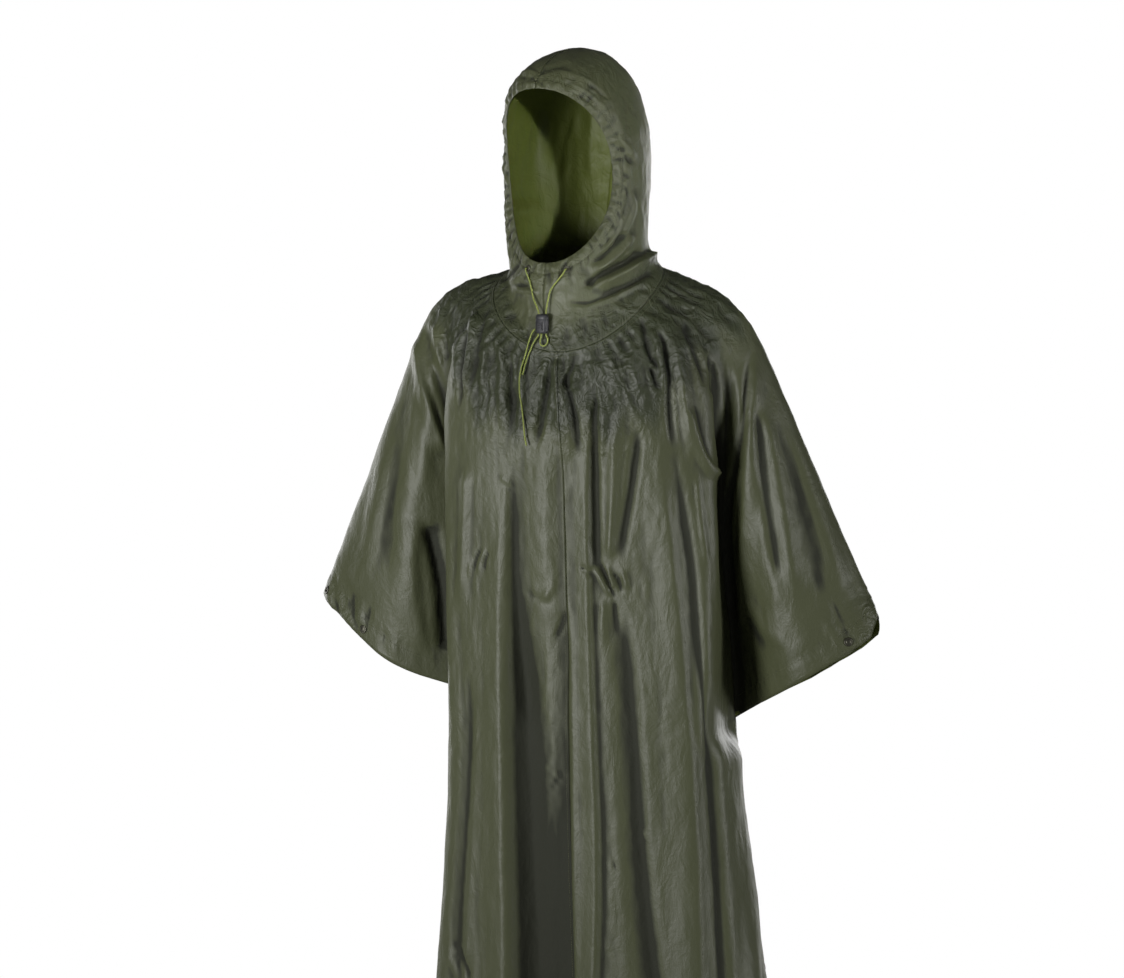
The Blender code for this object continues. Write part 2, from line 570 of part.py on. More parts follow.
def hood_lift(side, grid):
    """How far each point of the hood is moved out by its folds, from its distance to each ridge."""
    lift = np.zeros(grid.shape[:2])
    for fold in named_rows(HOOD_FOLD_COLUMN_NAMES, HOOD_FOLDS):
        if fold["side"] == side:
            top = np.array([fold["top_x"], fold["top_y"], fold["top_z"]])
            line = np.array([fold["low_x"], fold["low_y"], fold["low_z"]]) - top
            along = np.clip((grid - top) @ line / (line @ line), 0, 1)
            away = np.linalg.norm(grid - top - along[..., None] * line, axis=2)
            nearest_end = np.minimum(along, 1 - along) / HOOD_FOLD_FADE
            faded = ease(nearest_end * (1 - HOOD_FOLD_END) + HOOD_FOLD_END)
            lift += fold["height"] * bump(away, fold["width"]) * faded
    return lift


def make_hood(side, word, material):
    last = len(HOOD_RINGS) - 1
    places = np.linspace(0, last - NECK_CLEAR, last * HOOD_ROWS + 1)
    half_gap = SEAM_GAP / MM / 2
    angles = np.linspace(180, 0, 181)
    trim = (half_gap, half_gap)
    grid = np.array([along_curve(hood_ring(place, angles, side), 0, HOOD_COLUMNS, trim) for place in places])
    return cloth_object(f"hood_{word}", grid, hood_lift(side, grid), side, material)


def make_cord(name, material):
    """A tube through evenly spaced points of a smooth curve along the cord's route."""
    route = np.array(CORD_ROUTES[name])
    dense = chord_curve(route, 0, len(route) - 1)
    length = np.linalg.norm(np.diff(dense, axis=0), axis=1).sum()
    points = along_curve(dense, 0, round(length / CORD_STEP), (0, 0))
    data = bpy.data.curves.new(name, "CURVE")
    data.dimensions = "3D"
    data.bevel_depth = CORD_DIAMETER / 2
    data.bevel_resolution = 2
    data.use_fill_caps = True
    line = data.splines.new("POLY")
    line.points.add(len(points) - 1)
    for spot, point in zip(line.points, points):
        spot.co = (*(Vector(point) * MM), 1)
    data.materials.append(material)
    item = bpy.data.objects.new(name, data)
    bpy.context.scene.collection.objects.link(item)


def make_lock(material):
    """The barrel, lofted through flattened rings, and the button that stands on its front."""
    place = Matrix.Translation(Vector(LOCK_CENTRE) * MM) @ Matrix.Rotation(math.radians(-LOCK_TURN), 4, "Z")
    wide, deep, tall = LOCK_SIZE
    mesh = bmesh.new()
    rings = []
    for height, scale in LOCK_PROFILE:
        angles = [2 * math.pi * k / LOCK_SIDES for k in range(LOCK_SIDES)]
        rings.append([
            mesh.verts.new(place @ Vector((
                wide / 2 * scale * power(math.cos(a), LOCK_SQUARE) * MM,
                deep / 2 * scale * power(math.sin(a), LOCK_SQUARE) * MM,
                tall * height * MM,
            ))) for a in angles
        ])
    for ring, after in zip(rings, rings[1:]):
        for k in range(LOCK_SIDES):
            mesh.faces.new((ring[k - 1], ring[k], after[k], after[k - 1]))
    mesh.faces.new(rings[0][::-1])
    mesh.faces.new(rings[-1])
    bmesh.ops.recalc_face_normals(mesh, faces=mesh.faces)
    add_object("cord_lock", mesh, material)

    wide, thick, tall = BUTTON_SIZE
    front = -deep / 2 - thick / 2 - LAY_GAP / MM
    mesh = bmesh.new()
    bmesh.ops.create_cube(mesh, size=MM, matrix=place @ Matrix.Translation(
        Vector((0, front, -BUTTON_DROP)) * MM) @ Matrix.Diagonal((wide, thick, tall, 1)))
    bevel = BUTTON_BEVEL * MM
    bmesh.ops.bevel(mesh, geom=mesh.edges[:], offset=bevel, segments=2, affect="EDGES", profile=0.5)
    add_object("cord_lock_button", mesh, material)


def make_cuff_trim(word, tree, places, metal):
    """An eyelet by the sleeve's fold and a snap, whose halves are on the cuff's front and back panels."""
    row = (CUFF_ROW - CUFF_TRIM_ROW) * BODY_ROWS
    fold = FRONT_COLUMNS + SLEEVE_COLUMNS
    spot = on_grid(places, row, fold - CUFF_EYELET_COLUMN[word])
    laid_piece(f"eyelet_cuff_{word}", tree, spot, CUFF_EYELET_PROFILE, metal)
    laid_piece(f"eyelet_cuff_{word}_inside", tree, spot, CUFF_EYELET_PROFILE, metal, -1)
    for panel, turn in (("front", -1), ("back", 1)):
        spot = on_grid(places, row, fold + turn * CUFF_SNAP_COLUMN[word])
        laid_piece(f"snap_cuff_{word}_{panel}", tree, spot, SNAP_PROFILE, metal)
        laid_piece(f"snap_cuff_{word}_{panel}_inside", tree, spot, SOCKET_PROFILE, metal, -1)


def make_side_snaps(side, word, tree, metal):
    """Snaps that hold the lapped side edges: a cap outside, the joined socket and stud between, a cap
    inside."""
    columns = table(BODY_COLUMN_NAMES, BODY_RINGS)
    for number, z in enumerate(SIDE_SNAPS_Z, 1):
        y = np.interp(-z, -columns["under_z"], columns["under_y"]) + (LEFT_LAP_SHIFT[1] if side > 0 else 0)
        out = lap_axes(LEFT_LAP_TURN if side > 0 else 0)[1]
        inwards = Vector((-side * out[0], -out[1], 0))
        x = np.interp(-z, -columns["under_z"], columns["under_x"]) + (LEFT_LAP_SHIFT[0] if side > 0 else 0)
        middle = Vector((side * x + columns["seam_x"][-1], y, z)) * MM
        outer = tree.ray_cast(middle - inwards * SIDE_RAY_START, inwards)[0]
        inner = tree.ray_cast(outer + inwards * WALL, inwards)[0]
        laid_piece(f"snap_side_{word}_{number}", tree, outer, SNAP_PROFILE, metal)
        laid_piece(f"snap_side_{word}_{number}_inside", tree, inner, SNAP_PROFILE, metal, -1)
        tall = room_above(tree, inner, SOCKET_PROFILE[1][0] * MM) - WALL - 2 * LAY_GAP
        core = (*SOCKET_PROFILE[:2], (SOCKET_PROFILE[1][0], tall / MM), (0, tall / MM))
        laid_piece(f"snap_side_{word}_{number}_joined", tree, inner, core, metal)


def main():
    for item in list(bpy.data.objects):
        bpy.data.objects.remove(item)
    cloth = new_material("coated_cloth", (0.075, 0.08, 0.052), 0.45)
    braid = new_material("braided_cord", (0.22, 0.26, 0.05), 0.8)
    plastic = new_material("lock_plastic", (0.03, 0.03, 0.032), 0.4)
    metal = new_material("dark_metal", (0.09, 0.085, 0.07), 0.4, 1.0)
    for side, word in ((-1, "right"), (1, "left")):
        body, body_places = make_body(side, word, cloth)
        hood = make_hood(side, word, cloth)[0]
        laid_piece(f"eyelet_hood_{word}", hood, Vector(HOOD_EYELETS[word]) * MM, EYELET_PROFILE, metal)
        make_cuff_trim(word, body, body_places, metal)
        make_side_snaps(side, word, body, metal)
    for name in CORD_ROUTES:
        make_cord(name, braid)
    make_lock(plastic)


main()
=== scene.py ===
import math

import bmesh
import bpy
import numpy as np
from mathutils import Matrix, Vector, noise
from mathutils.bvhtree import BVHTree


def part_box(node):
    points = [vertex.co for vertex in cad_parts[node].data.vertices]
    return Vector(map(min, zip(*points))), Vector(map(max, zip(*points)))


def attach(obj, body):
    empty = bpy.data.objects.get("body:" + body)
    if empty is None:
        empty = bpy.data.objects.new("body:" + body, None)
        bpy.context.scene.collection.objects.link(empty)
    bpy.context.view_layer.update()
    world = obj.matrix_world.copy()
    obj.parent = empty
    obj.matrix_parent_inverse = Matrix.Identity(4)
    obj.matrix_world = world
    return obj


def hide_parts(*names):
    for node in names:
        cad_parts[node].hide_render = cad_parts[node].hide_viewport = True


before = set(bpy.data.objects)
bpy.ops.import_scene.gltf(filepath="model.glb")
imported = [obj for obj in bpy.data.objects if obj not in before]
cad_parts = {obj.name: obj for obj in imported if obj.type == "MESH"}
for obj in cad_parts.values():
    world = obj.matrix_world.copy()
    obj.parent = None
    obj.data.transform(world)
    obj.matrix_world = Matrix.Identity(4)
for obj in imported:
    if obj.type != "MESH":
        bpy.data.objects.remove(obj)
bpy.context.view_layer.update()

mm = 0.001


def shade(hexCode):  # sRGB hex to a linear colour
    parts = [int(hexCode[k:k + 2], 16) / 255 for k in (0, 2, 4)]
    return (*[p / 12.92 if p <= 0.04045 else ((p + 0.055) / 1.055) ** 2.4 for p in parts], 1)


def ease(value):
    value = np.clip(value, 0, 1)
    return value * value * (3 - 2 * value)


def easeOver(value, start, end):
    return ease((value - start) / (end - start))


def power(value, exponent):
    return np.sign(value) * np.abs(value) ** exponent


def namedRows(names, rows):
    return [dict(zip(names, row)) for row in rows]


def spline(keys, values, at):  # smooth curve through key values
    keys, values, at = np.asarray(keys, float), np.asarray(values, float), np.asarray(at, float)
    slopes = np.gradient(values, keys, axis=0)
    place = np.clip(np.searchsorted(keys, at, side="right") - 1, 0, len(keys) - 2)
    span = keys[place + 1] - keys[place]
    t = (at - keys[place]) / span
    shape = (-1,) + (1,) * (values.ndim - 1)
    span, t = span.reshape(shape), t.reshape(shape)
    start, end = values[place], values[place + 1]
    return ((1 + 2 * t) * (1 - t) ** 2 * start + t * (1 - t) ** 2 * span * slopes[place]
            + t * t * (3 - 2 * t) * end + t * t * (t - 1) * span * slopes[place + 1])


def walked(points):  # distance along a line of points
    return np.concatenate([[0], np.cumsum(np.linalg.norm(np.diff(points, axis=0), axis=1))])


def chordCurve(points, first, last, count=240):
    keys = walked(points)
    return spline(keys, points, np.linspace(keys[first], keys[last], count))


def alongCurve(points, start, count, trim):  # evenly spaced points along a dense curve
    reach = walked(points)
    at = np.linspace(trim[0], reach[-1] - trim[1], count + 1)
    return np.column_stack([np.interp(at, reach, points[:, axis]) for axis in range(3)])[start:]


def newPiece(name, mesh, *materials):
    for material in materials:
        mesh.materials.append(material)
    piece = bpy.data.objects.new(name, mesh)
    bpy.context.scene.collection.objects.link(piece)
    return piece


def baked(piece, name):  # modifiers applied, as a plain mesh
    bpy.context.view_layer.update()
    seen = piece.evaluated_get(bpy.context.evaluated_depsgraph_get())
    mesh = bpy.data.meshes.new_from_object(seen)
    old = piece.data
    piece.modifiers.clear()
    if piece.type == "MESH":
        piece.data = mesh
        result = piece
    else:
        bpy.data.objects.remove(piece)
        result = bpy.data.objects.new(name, mesh)
        bpy.context.scene.collection.objects.link(result)
    if old.users == 0 and isinstance(old, bpy.types.Mesh):
        bpy.data.meshes.remove(old)
    result.name = name
    return result


def nodeIn(tree, kind, inputs=None, links=None, **settings):  # one node with its settings, values and links
    node = tree.nodes.new(kind)
    for key, value in settings.items():
        setattr(node, key, value)
    for key, value in (inputs or {}).items():
        node.inputs[key].default_value = value
    for key, source in (links or {}).items():
        tree.links.new(source, node.inputs[key])
    return node


viewSizes = {
    "turn": 20.0,  # degrees towards the wearer's left
    "rise": 3.5,
    "distance": 5.0,
    "aim": (0.0, 0.0, -0.30),
    "frameWidth": 1.6298,  # metres across the frame, at the aim
    "shiftX": -0.0249,
    "shiftY": -0.0018,
}


def viewAxes(turn, rise):
    a, e = math.radians(turn), math.radians(rise)
    right = np.array([math.cos(a), math.sin(a), 0])
    ahead = np.array([-math.sin(a) * math.cos(e), math.cos(a) * math.cos(e), -math.sin(e)])
    return right, ahead, np.cross(right, ahead)


def makeCamera():
    right, ahead, up = viewAxes(viewSizes["turn"], viewSizes["rise"])
    lens = bpy.data.cameras.new("camera")
    lens.sensor_width = 36
    lens.lens = 36 * viewSizes["distance"] / viewSizes["frameWidth"]
    lens.shift_x = viewSizes["shiftX"]
    lens.shift_y = viewSizes["shiftY"]
    lens.clip_end = 60
    camera = bpy.data.objects.new("camera", lens)
    place = np.array(viewSizes["aim"]) - ahead * viewSizes["distance"]
    turn = Matrix((right, up, -ahead)).transposed().to_4x4()
    camera.matrix_world = Matrix.Translation(place) @ turn
    bpy.context.scene.collection.objects.link(camera)
    bpy.context.scene.camera = camera


studio = {
    "floorZ": -1.46,  # where the wearer's feet would stand
    "floorSize": 40.0,
    "floorShade": "f4f4f2",
    "skyLight": 0.07,
    # azimuths in degrees from the garment's front, sizes in metres; a spread under 180 narrows the beam
    "key": {"azimuth": -25, "height": -0.6, "away": 3.8, "size": (1.4, 1.2),
            "aim": (0, 0, -0.16), "spread": 62, "watts": 14},
    "side": {"azimuth": 84, "height": -0.5, "away": 3.8, "size": (0.9, 1.5),
             "aim": (0.1, 0, -0.3), "spread": 70, "watts": 8},
    "backLeft": {"azimuth": 172, "height": -0.3, "away": 3.9, "size": (1.6, 1.8),
                 "aim": (0, 0, -0.5), "spread": 180, "watts": 42},
    "backRight": {"azimuth": 238, "height": -0.3, "away": 3.9, "size": (1.4, 1.8),
                  "aim": (0, 0, -0.5), "spread": 180, "watts": 40},
    "hood": {"azimuth": 42, "height": 0.25, "away": 2.2, "size": (0.5, 0.5),
             "aim": (-0.09, 0.0, 0.155), "spread": 5, "watts": 0.36},
}


def makeLamp(name, azimuth, height, away, size, aim, spread, watts):
    lamp = bpy.data.lights.new(name, "AREA")
    lamp.shape = "RECTANGLE"
    lamp.size, lamp.size_y = size
    lamp.energy = watts
    lamp.spread = math.radians(spread)
    item = bpy.data.objects.new(name, lamp)
    a = math.radians(azimuth)
    item.location = (math.sin(a) * away, -math.cos(a) * away, height)
    item.rotation_euler = (Vector(aim) - item.location).to_track_quat("-Z", "Y").to_euler()
    bpy.context.scene.collection.objects.link(item)


def makeStudio():
    for name in ("key", "side", "backLeft", "backRight", "hood"):
        makeLamp(name, **studio[name])
    half = studio["floorSize"] / 2
    mesh = bpy.data.meshes.new("floor")
    z = studio["floorZ"]
    corners = [(-half, -half, z), (half, -half, z), (half, half, z), (-half, half, z)]
    mesh.from_pydata(corners, [], [(0, 1, 2, 3)])
    paint = bpy.data.materials.new("paleStudioFloor")
    paint.use_nodes = True
    tree = paint.node_tree
    matte = tree.nodes["Principled BSDF"]
    matte.inputs["Base Color"].default_value = shade(studio["floorShade"])
    matte.inputs["Roughness"].default_value = 0.9
    glow = nodeIn(tree, "ShaderNodeEmission", {"Color": (1, 1, 1, 1), "Strength": 1.0})
    path = nodeIn(tree, "ShaderNodeLightPath")  # overexposed to the eye, a pale matte floor to the light
    mix = nodeIn(tree, "ShaderNodeMixShader", links={0: path.outputs["Is Camera Ray"], 1: matte.outputs[0],
                                                     2: glow.outputs[0]})
    tree.links.new(mix.outputs[0], tree.nodes["Material Output"].inputs["Surface"])
    newPiece("floor", mesh, paint)
    world = bpy.data.worlds.new("softSky")
    world.use_nodes = True
    tree = world.node_tree
    tree.nodes.clear()
    seen = nodeIn(tree, "ShaderNodeBackground", {"Color": (1, 1, 1, 1), "Strength": 1.0})
    lit = nodeIn(tree, "ShaderNodeBackground", {"Color": (1, 1, 1, 1), "Strength": studio["skyLight"]})
    path = nodeIn(tree, "ShaderNodeLightPath")
    mix = nodeIn(tree, "ShaderNodeMixShader", links={0: path.outputs["Is Camera Ray"], 1: lit.outputs[0]})
    tree.links.new(seen.outputs[0], mix.inputs[2])
    nodeIn(tree, "ShaderNodeOutputWorld", links={0: mix.outputs[0]})
    bpy.context.scene.world = world
    bpy.context.scene.view_settings.view_transform = "Standard"


makeCamera()
makeStudio()
print("camera, light and floor")


clothLook = {
    # olive drab, a coated face with a broad grey gloss; the last two tones are painted shade: on the yoke,
    # taken as two layers, and in the bottoms of folds
    "outside": {"colour": "53573d", "darker": "494d34", "layeredShadeTone": "363b27", "fold": "1b1d13",
                "roughness": 0.5, "gloss": 0.55},
    # the uncoated face, yellower, as if light came through the cloth
    "inside": {"colour": "666f36", "darker": "5c652b", "layeredShadeTone": "3c4118", "fold": "5c652b",
               "roughness": 0.52, "gloss": 0.35},
    "blotches": {"Scale": 9.0, "Detail": 3.0, "Roughness": 0.6},
    "fullHollow": 0.75, "foldShadeDark": 0.85, "foldDull": 0.3,  # a fold's bottom is painted darker, as shade, and is duller
    "threadPitch": 1.3,  # mm; the real one, taken as 0.25 mm, is too fine to show, so it is drawn this coarse
    "threadDepth": 0.3, "threadRelief": 0.05,
    "crinkleDepth": 2.4, "crinkleDown": 0.45,  # longer down than across
    "crinkles": {"Scale": 34.0, "Detail": 5.0, "Roughness": 0.6, "Distortion": 0.5},
    "crumpleDepth": 1.0, "crumpleWidth": 21,  # mm
    "crumples": {"Detail": 3.0, "Roughness": 0.55, "Distortion": 0.8, "Offset": 1.0, "Gain": 2.0},
}


def wovenNylon(name, colour, darker, layeredShadeTone, fold, roughness, gloss):
    # plain-woven nylon, coated: fine threads, a slack crinkle and broad soft gleams
    look = clothLook
    material = bpy.data.materials.new(name)
    material.use_nodes = True
    tree = material.node_tree
    shader = tree.nodes["Principled BSDF"]
    shader.inputs["Roughness"].default_value = roughness
    shader.inputs["IOR"].default_value = 1.5
    shader.inputs["Specular IOR Level"].default_value = gloss
    place = nodeIn(tree, "ShaderNodeTexCoord")
    uv = nodeIn(tree, "ShaderNodeUVMap", uv_map="cloth")
    blotch = nodeIn(tree, "ShaderNodeTexNoise", look["blotches"], {"Vector": place.outputs["Object"]})
    tone = nodeIn(tree, "ShaderNodeMix", {6: shade(colour), 7: shade(darker)},
                  {0: blotch.outputs["Fac"]}, data_type="RGBA")
    # painted shade: the colour falls to its darkest tone where the cloth is taken as two layers, on the yoke
    # and on the hood by the neck
    doubledShade = nodeIn(tree, "ShaderNodeAttribute", attribute_name="doubledShade")
    deep = nodeIn(tree, "ShaderNodeMix", {7: shade(layeredShadeTone)}, {0: doubledShade.outputs["Fac"], 6: tone.outputs[2]},
                  data_type="RGBA")
    # painted shade: the colour darkens towards the fold tone in the bottoms of folds and creases
    foldShade = nodeIn(tree, "ShaderNodeAttribute", attribute_name="foldShade")
    bottom = nodeIn(tree, "ShaderNodeMapRange", {1: 0.0, 2: look["fullHollow"], 3: 0.0, 4: look["foldShadeDark"]},
                    {0: foldShade.outputs["Fac"]})
    shadedFolds = nodeIn(tree, "ShaderNodeMix", {7: shade(fold)}, {0: bottom.outputs[0], 6: deep.outputs[2]},
                    data_type="RGBA")
    tree.links.new(shadedFolds.outputs[2], shader.inputs["Base Color"])
    dull = min(1.0, roughness + look["foldDull"])
    rough = nodeIn(tree, "ShaderNodeMapRange", {1: 0.0, 2: look["fullHollow"], 3: roughness, 4: dull},
                   {0: foldShade.outputs["Fac"]})
    tree.links.new(rough.outputs[0], shader.inputs["Roughness"])
    # threads: two crossed sets, one pitch apart, on the cloth's own UV in metres
    turns = 2 * math.pi / 20 / (look["threadPitch"] * mm)  # bands repeat every 2 pi / 20 / scale
    warp = nodeIn(tree, "ShaderNodeTexWave", {"Scale": turns}, {"Vector": uv.outputs[0]},
                  wave_type="BANDS", bands_direction="X", wave_profile="SIN")
    weft = nodeIn(tree, "ShaderNodeTexWave", {"Scale": turns}, {"Vector": uv.outputs[0]},
                  wave_type="BANDS", bands_direction="Y", wave_profile="SIN")
    threads = nodeIn(tree, "ShaderNodeMath", operation="MAXIMUM",
                     links={0: warp.outputs["Fac"], 1: weft.outputs["Fac"]})
    relief = {"Strength": look["threadRelief"], "Distance": look["threadDepth"] * mm}
    fine = nodeIn(tree, "ShaderNodeBump", relief, {"Height": threads.outputs[0]})
    # crinkle: slack cloth between the folds
    stretched = nodeIn(tree, "ShaderNodeMapping", {"Scale": (1.0, 1.0, look["crinkleDown"])},
                       {"Vector": place.outputs["Object"]})
    crinkle = nodeIn(tree, "ShaderNodeTexNoise", look["crinkles"], {"Vector": stretched.outputs[0]})
    coarse = nodeIn(tree, "ShaderNodeBump", {"Strength": 1.0, "Distance": look["crinkleDepth"] * mm},
                    {"Height": crinkle.outputs["Fac"], "Normal": fine.outputs[0]})
    # crumples: sharp small creases where the cloth is gathered, pressed or handled
    crushed = nodeIn(tree, "ShaderNodeTexNoise", {"Scale": 1000 / look["crumpleWidth"], **look["crumples"]},
                     {"Vector": place.outputs["Object"]}, noise_type="RIDGED_MULTIFRACTAL")
    where = nodeIn(tree, "ShaderNodeAttribute", attribute_name="crumple")
    much = nodeIn(tree, "ShaderNodeMath", operation="MULTIPLY",
                  links={0: crushed.outputs["Fac"], 1: where.outputs["Fac"]})
    coarse = nodeIn(tree, "ShaderNodeBump", {"Strength": 1.0, "Distance": look["crumpleDepth"] * mm},
                    {"Height": much.outputs[0], "Normal": coarse.outputs[0]})
    tree.links.new(coarse.outputs[0], shader.inputs["Normal"])
    return material


finishLook = {"detail": 3.0, "lighter": 1.35, "lift": 0.004, "glossier": 0.06, "duller": 0.08, "relief": 0.4}


def plainFinish(name, colour, roughness, metallic=0.0, grain=600.0, depth=0.00008):
    material = bpy.data.materials.new(name)
    material.use_nodes = True
    tree = material.node_tree
    shader = tree.nodes["Principled BSDF"]
    shader.inputs["Metallic"].default_value = metallic
    place = nodeIn(tree, "ShaderNodeTexCoord")
    specks = nodeIn(tree, "ShaderNodeTexNoise", {"Scale": grain, "Detail": finishLook["detail"]},
                    {"Vector": place.outputs["Object"]})
    base = shade(colour)
    light = tuple(min(c * finishLook["lighter"] + finishLook["lift"], 1) for c in base[:3]) + (1,)
    tone = nodeIn(tree, "ShaderNodeMix", {6: base, 7: light}, {0: specks.outputs["Fac"]}, data_type="RGBA")
    tree.links.new(tone.outputs[2], shader.inputs["Base Color"])
    dull = nodeIn(tree, "ShaderNodeMapRange",
                  {3: roughness - finishLook["glossier"], 4: roughness + finishLook["duller"]},
                  {0: specks.outputs["Fac"]})
    tree.links.new(dull.outputs[0], shader.inputs["Roughness"])
    bump = nodeIn(tree, "ShaderNodeBump", {"Strength": finishLook["relief"], "Distance": depth},
                  {"Height": specks.outputs["Fac"]})
    tree.links.new(bump.outputs[0], shader.inputs["Normal"])
    return material


clothOutside = wovenNylon("coatedNylonOutside", **clothLook["outside"])
clothInside = wovenNylon("bareNylonInside", **clothLook["inside"])
sewingThread = plainFinish("spunSewingThread", "5c5f47", 0.7)  # a shade lighter than the cloth
braidedCord = plainFinish("braidedNylonCord", "7f8944", 0.75, grain=900.0)
mouldedPlastic = plainFinish("mouldedLockPlastic", "2c2c2f", 0.42)  # faint sparkle of a moulded skin
darkMetal = plainFinish("blackenedBrass", "4b4a40", 0.42, 0.75)  # small lighter specks all over
print("materials")


cordSizes = {"diameter": 0.0023, "sides": 12, "step": 0.0008, "lobes": 4, "braidPitch": 0.0052, "relief": 0.1,
             "endWidth": 0.6}
cordRoutes = {
    "cord_right": (
        (-0.0552, -0.1086, 0.0168), (-0.0564, -0.1116, 0.0160), (-0.0542, -0.1142, 0.0100),
        (-0.0496, -0.1164, 0.0010), (-0.0446, -0.1200, -0.0130), (-0.0396, -0.1246, -0.0270),
        (-0.0324, -0.1304, -0.0384), (-0.0286, -0.1338, -0.0456), (-0.0283, -0.1344, -0.0481),
    ),
    "cord_left": (
        (0.0102, -0.1246, 0.0152), (0.0098, -0.1278, 0.0146), (0.0074, -0.1290, 0.0100),
        (0.0026, -0.1288, 0.0040), (-0.0056, -0.1289, -0.0056), (-0.0122, -0.1292, -0.0144),
        (-0.0150, -0.1302, -0.0256), (-0.0166, -0.1326, -0.0376), (-0.0170, -0.1343, -0.0456),
        (-0.0171, -0.1347, -0.0481),
    ),
    "cord_loop": (
        (-0.0168, -0.1352, -0.0759), (-0.0164, -0.1352, -0.0784), (-0.0146, -0.1354, -0.0824),
        (-0.0142, -0.1355, -0.0866), (-0.0170, -0.1356, -0.0916), (-0.0214, -0.1354, -0.0932),
        (-0.0252, -0.1351, -0.0906), (-0.0254, -0.1350, -0.0854), (-0.0242, -0.1350, -0.0790),
        (-0.0240, -0.1350, -0.0759),
    ),
    "cord_long_end": (
        (-0.0332, -0.1348, -0.0694), (-0.0370, -0.1334, -0.0724), (-0.0408, -0.1319, -0.0786),
        (-0.0436, -0.1318, -0.0860), (-0.0464, -0.1324, -0.0970), (-0.0504, -0.1326, -0.1100),
        (-0.0548, -0.1324, -0.1230), (-0.0576, -0.1322, -0.1360), (-0.0586, -0.1318, -0.1500),
        (-0.0578, -0.1316, -0.1630), (-0.0556, -0.1316, -0.1760), (-0.0539, -0.1314, -0.1890),
        (-0.0524, -0.1309, -0.2060), (-0.0508, -0.1305, -0.2230), (-0.0482, -0.1304, -0.2350),
    ),
    "cord_short_end": (
        (-0.0284, -0.1349, -0.0759), (-0.0288, -0.1348, -0.0786), (-0.0328, -0.1340, -0.0836),
        (-0.0376, -0.1332, -0.0910), (-0.0416, -0.1328, -0.0996), (-0.0454, -0.1329, -0.1090),
        (-0.0498, -0.1329, -0.1220), (-0.0532, -0.1326, -0.1344),
    ),
}


def makeCord(name):
    route = np.array(cordRoutes[name])
    dense = chordCurve(route, 0, len(route) - 1)
    length = walked(dense)[-1]
    path = alongCurve(dense, 0, round(length / cordSizes["step"]), (0, 0))
    ahead = np.gradient(path, axis=0)
    ahead /= np.linalg.norm(ahead, axis=1)[:, None]
    side = np.cross(ahead[0], (0, 0.3, 1))
    verts, faces, n = [], [], cordSizes["sides"]
    for k, (spot, axis) in enumerate(zip(path, ahead)):
        side = side - axis * (side @ axis)  # carried along, so the tube doesn't twist
        side /= np.linalg.norm(side)
        other = np.cross(axis, side)
        far = k * cordSizes["step"] / cordSizes["braidPitch"] * 2 * math.pi
        for j in range(n):
            a = 2 * math.pi * j / n
            lobe = max(math.cos(cordSizes["lobes"] * a + far), math.cos(cordSizes["lobes"] * a - far))
            radius = cordSizes["diameter"] / 2 * (1 - cordSizes["relief"] * (1 - lobe) / 2)
            if k in (0, len(path) - 1):
                radius *= cordSizes["endWidth"]
            verts.append(spot + radius * (math.cos(a) * side + math.sin(a) * other))
    for k in range(len(path) - 1):
        for j in range(n):
            faces.append((k * n + j, k * n + (j + 1) % n, (k + 1) * n + (j + 1) % n, (k + 1) * n + j))
    faces.append(tuple(range(n))[::-1])
    faces.append(tuple(range(len(verts) - n, len(verts))))
    mesh = bpy.data.meshes.new(name)
    mesh.from_pydata([tuple(v) for v in verts], [], faces)
    mesh.shade_smooth()
    piece = newPiece("drawcord_" + name[5:], mesh, braidedCord)
    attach(piece, "root")
    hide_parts(name)
    return piece, route, length


lockSizes = {
    "centre": (-0.0225, -0.1350, -0.0620), "turn": 12, "size": (0.0200, 0.0124, 0.0270),
    # height and width of the barrel's upper half, as shares of the whole; the lower half mirrors it
    "profile": ((0, 1.0), (0.25, 1.0), (0.27, 0.965), (0.29, 1.0), (0.34, 0.98), (0.42, 0.93), (0.47, 0.84),
                (0.492, 0.74), (0.5, 0.66)),
    "sides": 40, "squareness": 0.8, "mouth": 0.46,
    "button": (0.0085, 0.0026, 0.0120), "buttonDrop": 0.0035, "gap": 0.00035, "buttonGrid": (12, 24),
    "ribs": 4, "ribHeight": 0.16, "edge": 0.35, "crown": 0.5, "rimAcross": 6, "rimUp": 8,
}


def lockPlace():
    return Matrix.Translation(lockSizes["centre"]) @ Matrix.Rotation(math.radians(-lockSizes["turn"]), 4, "Z")


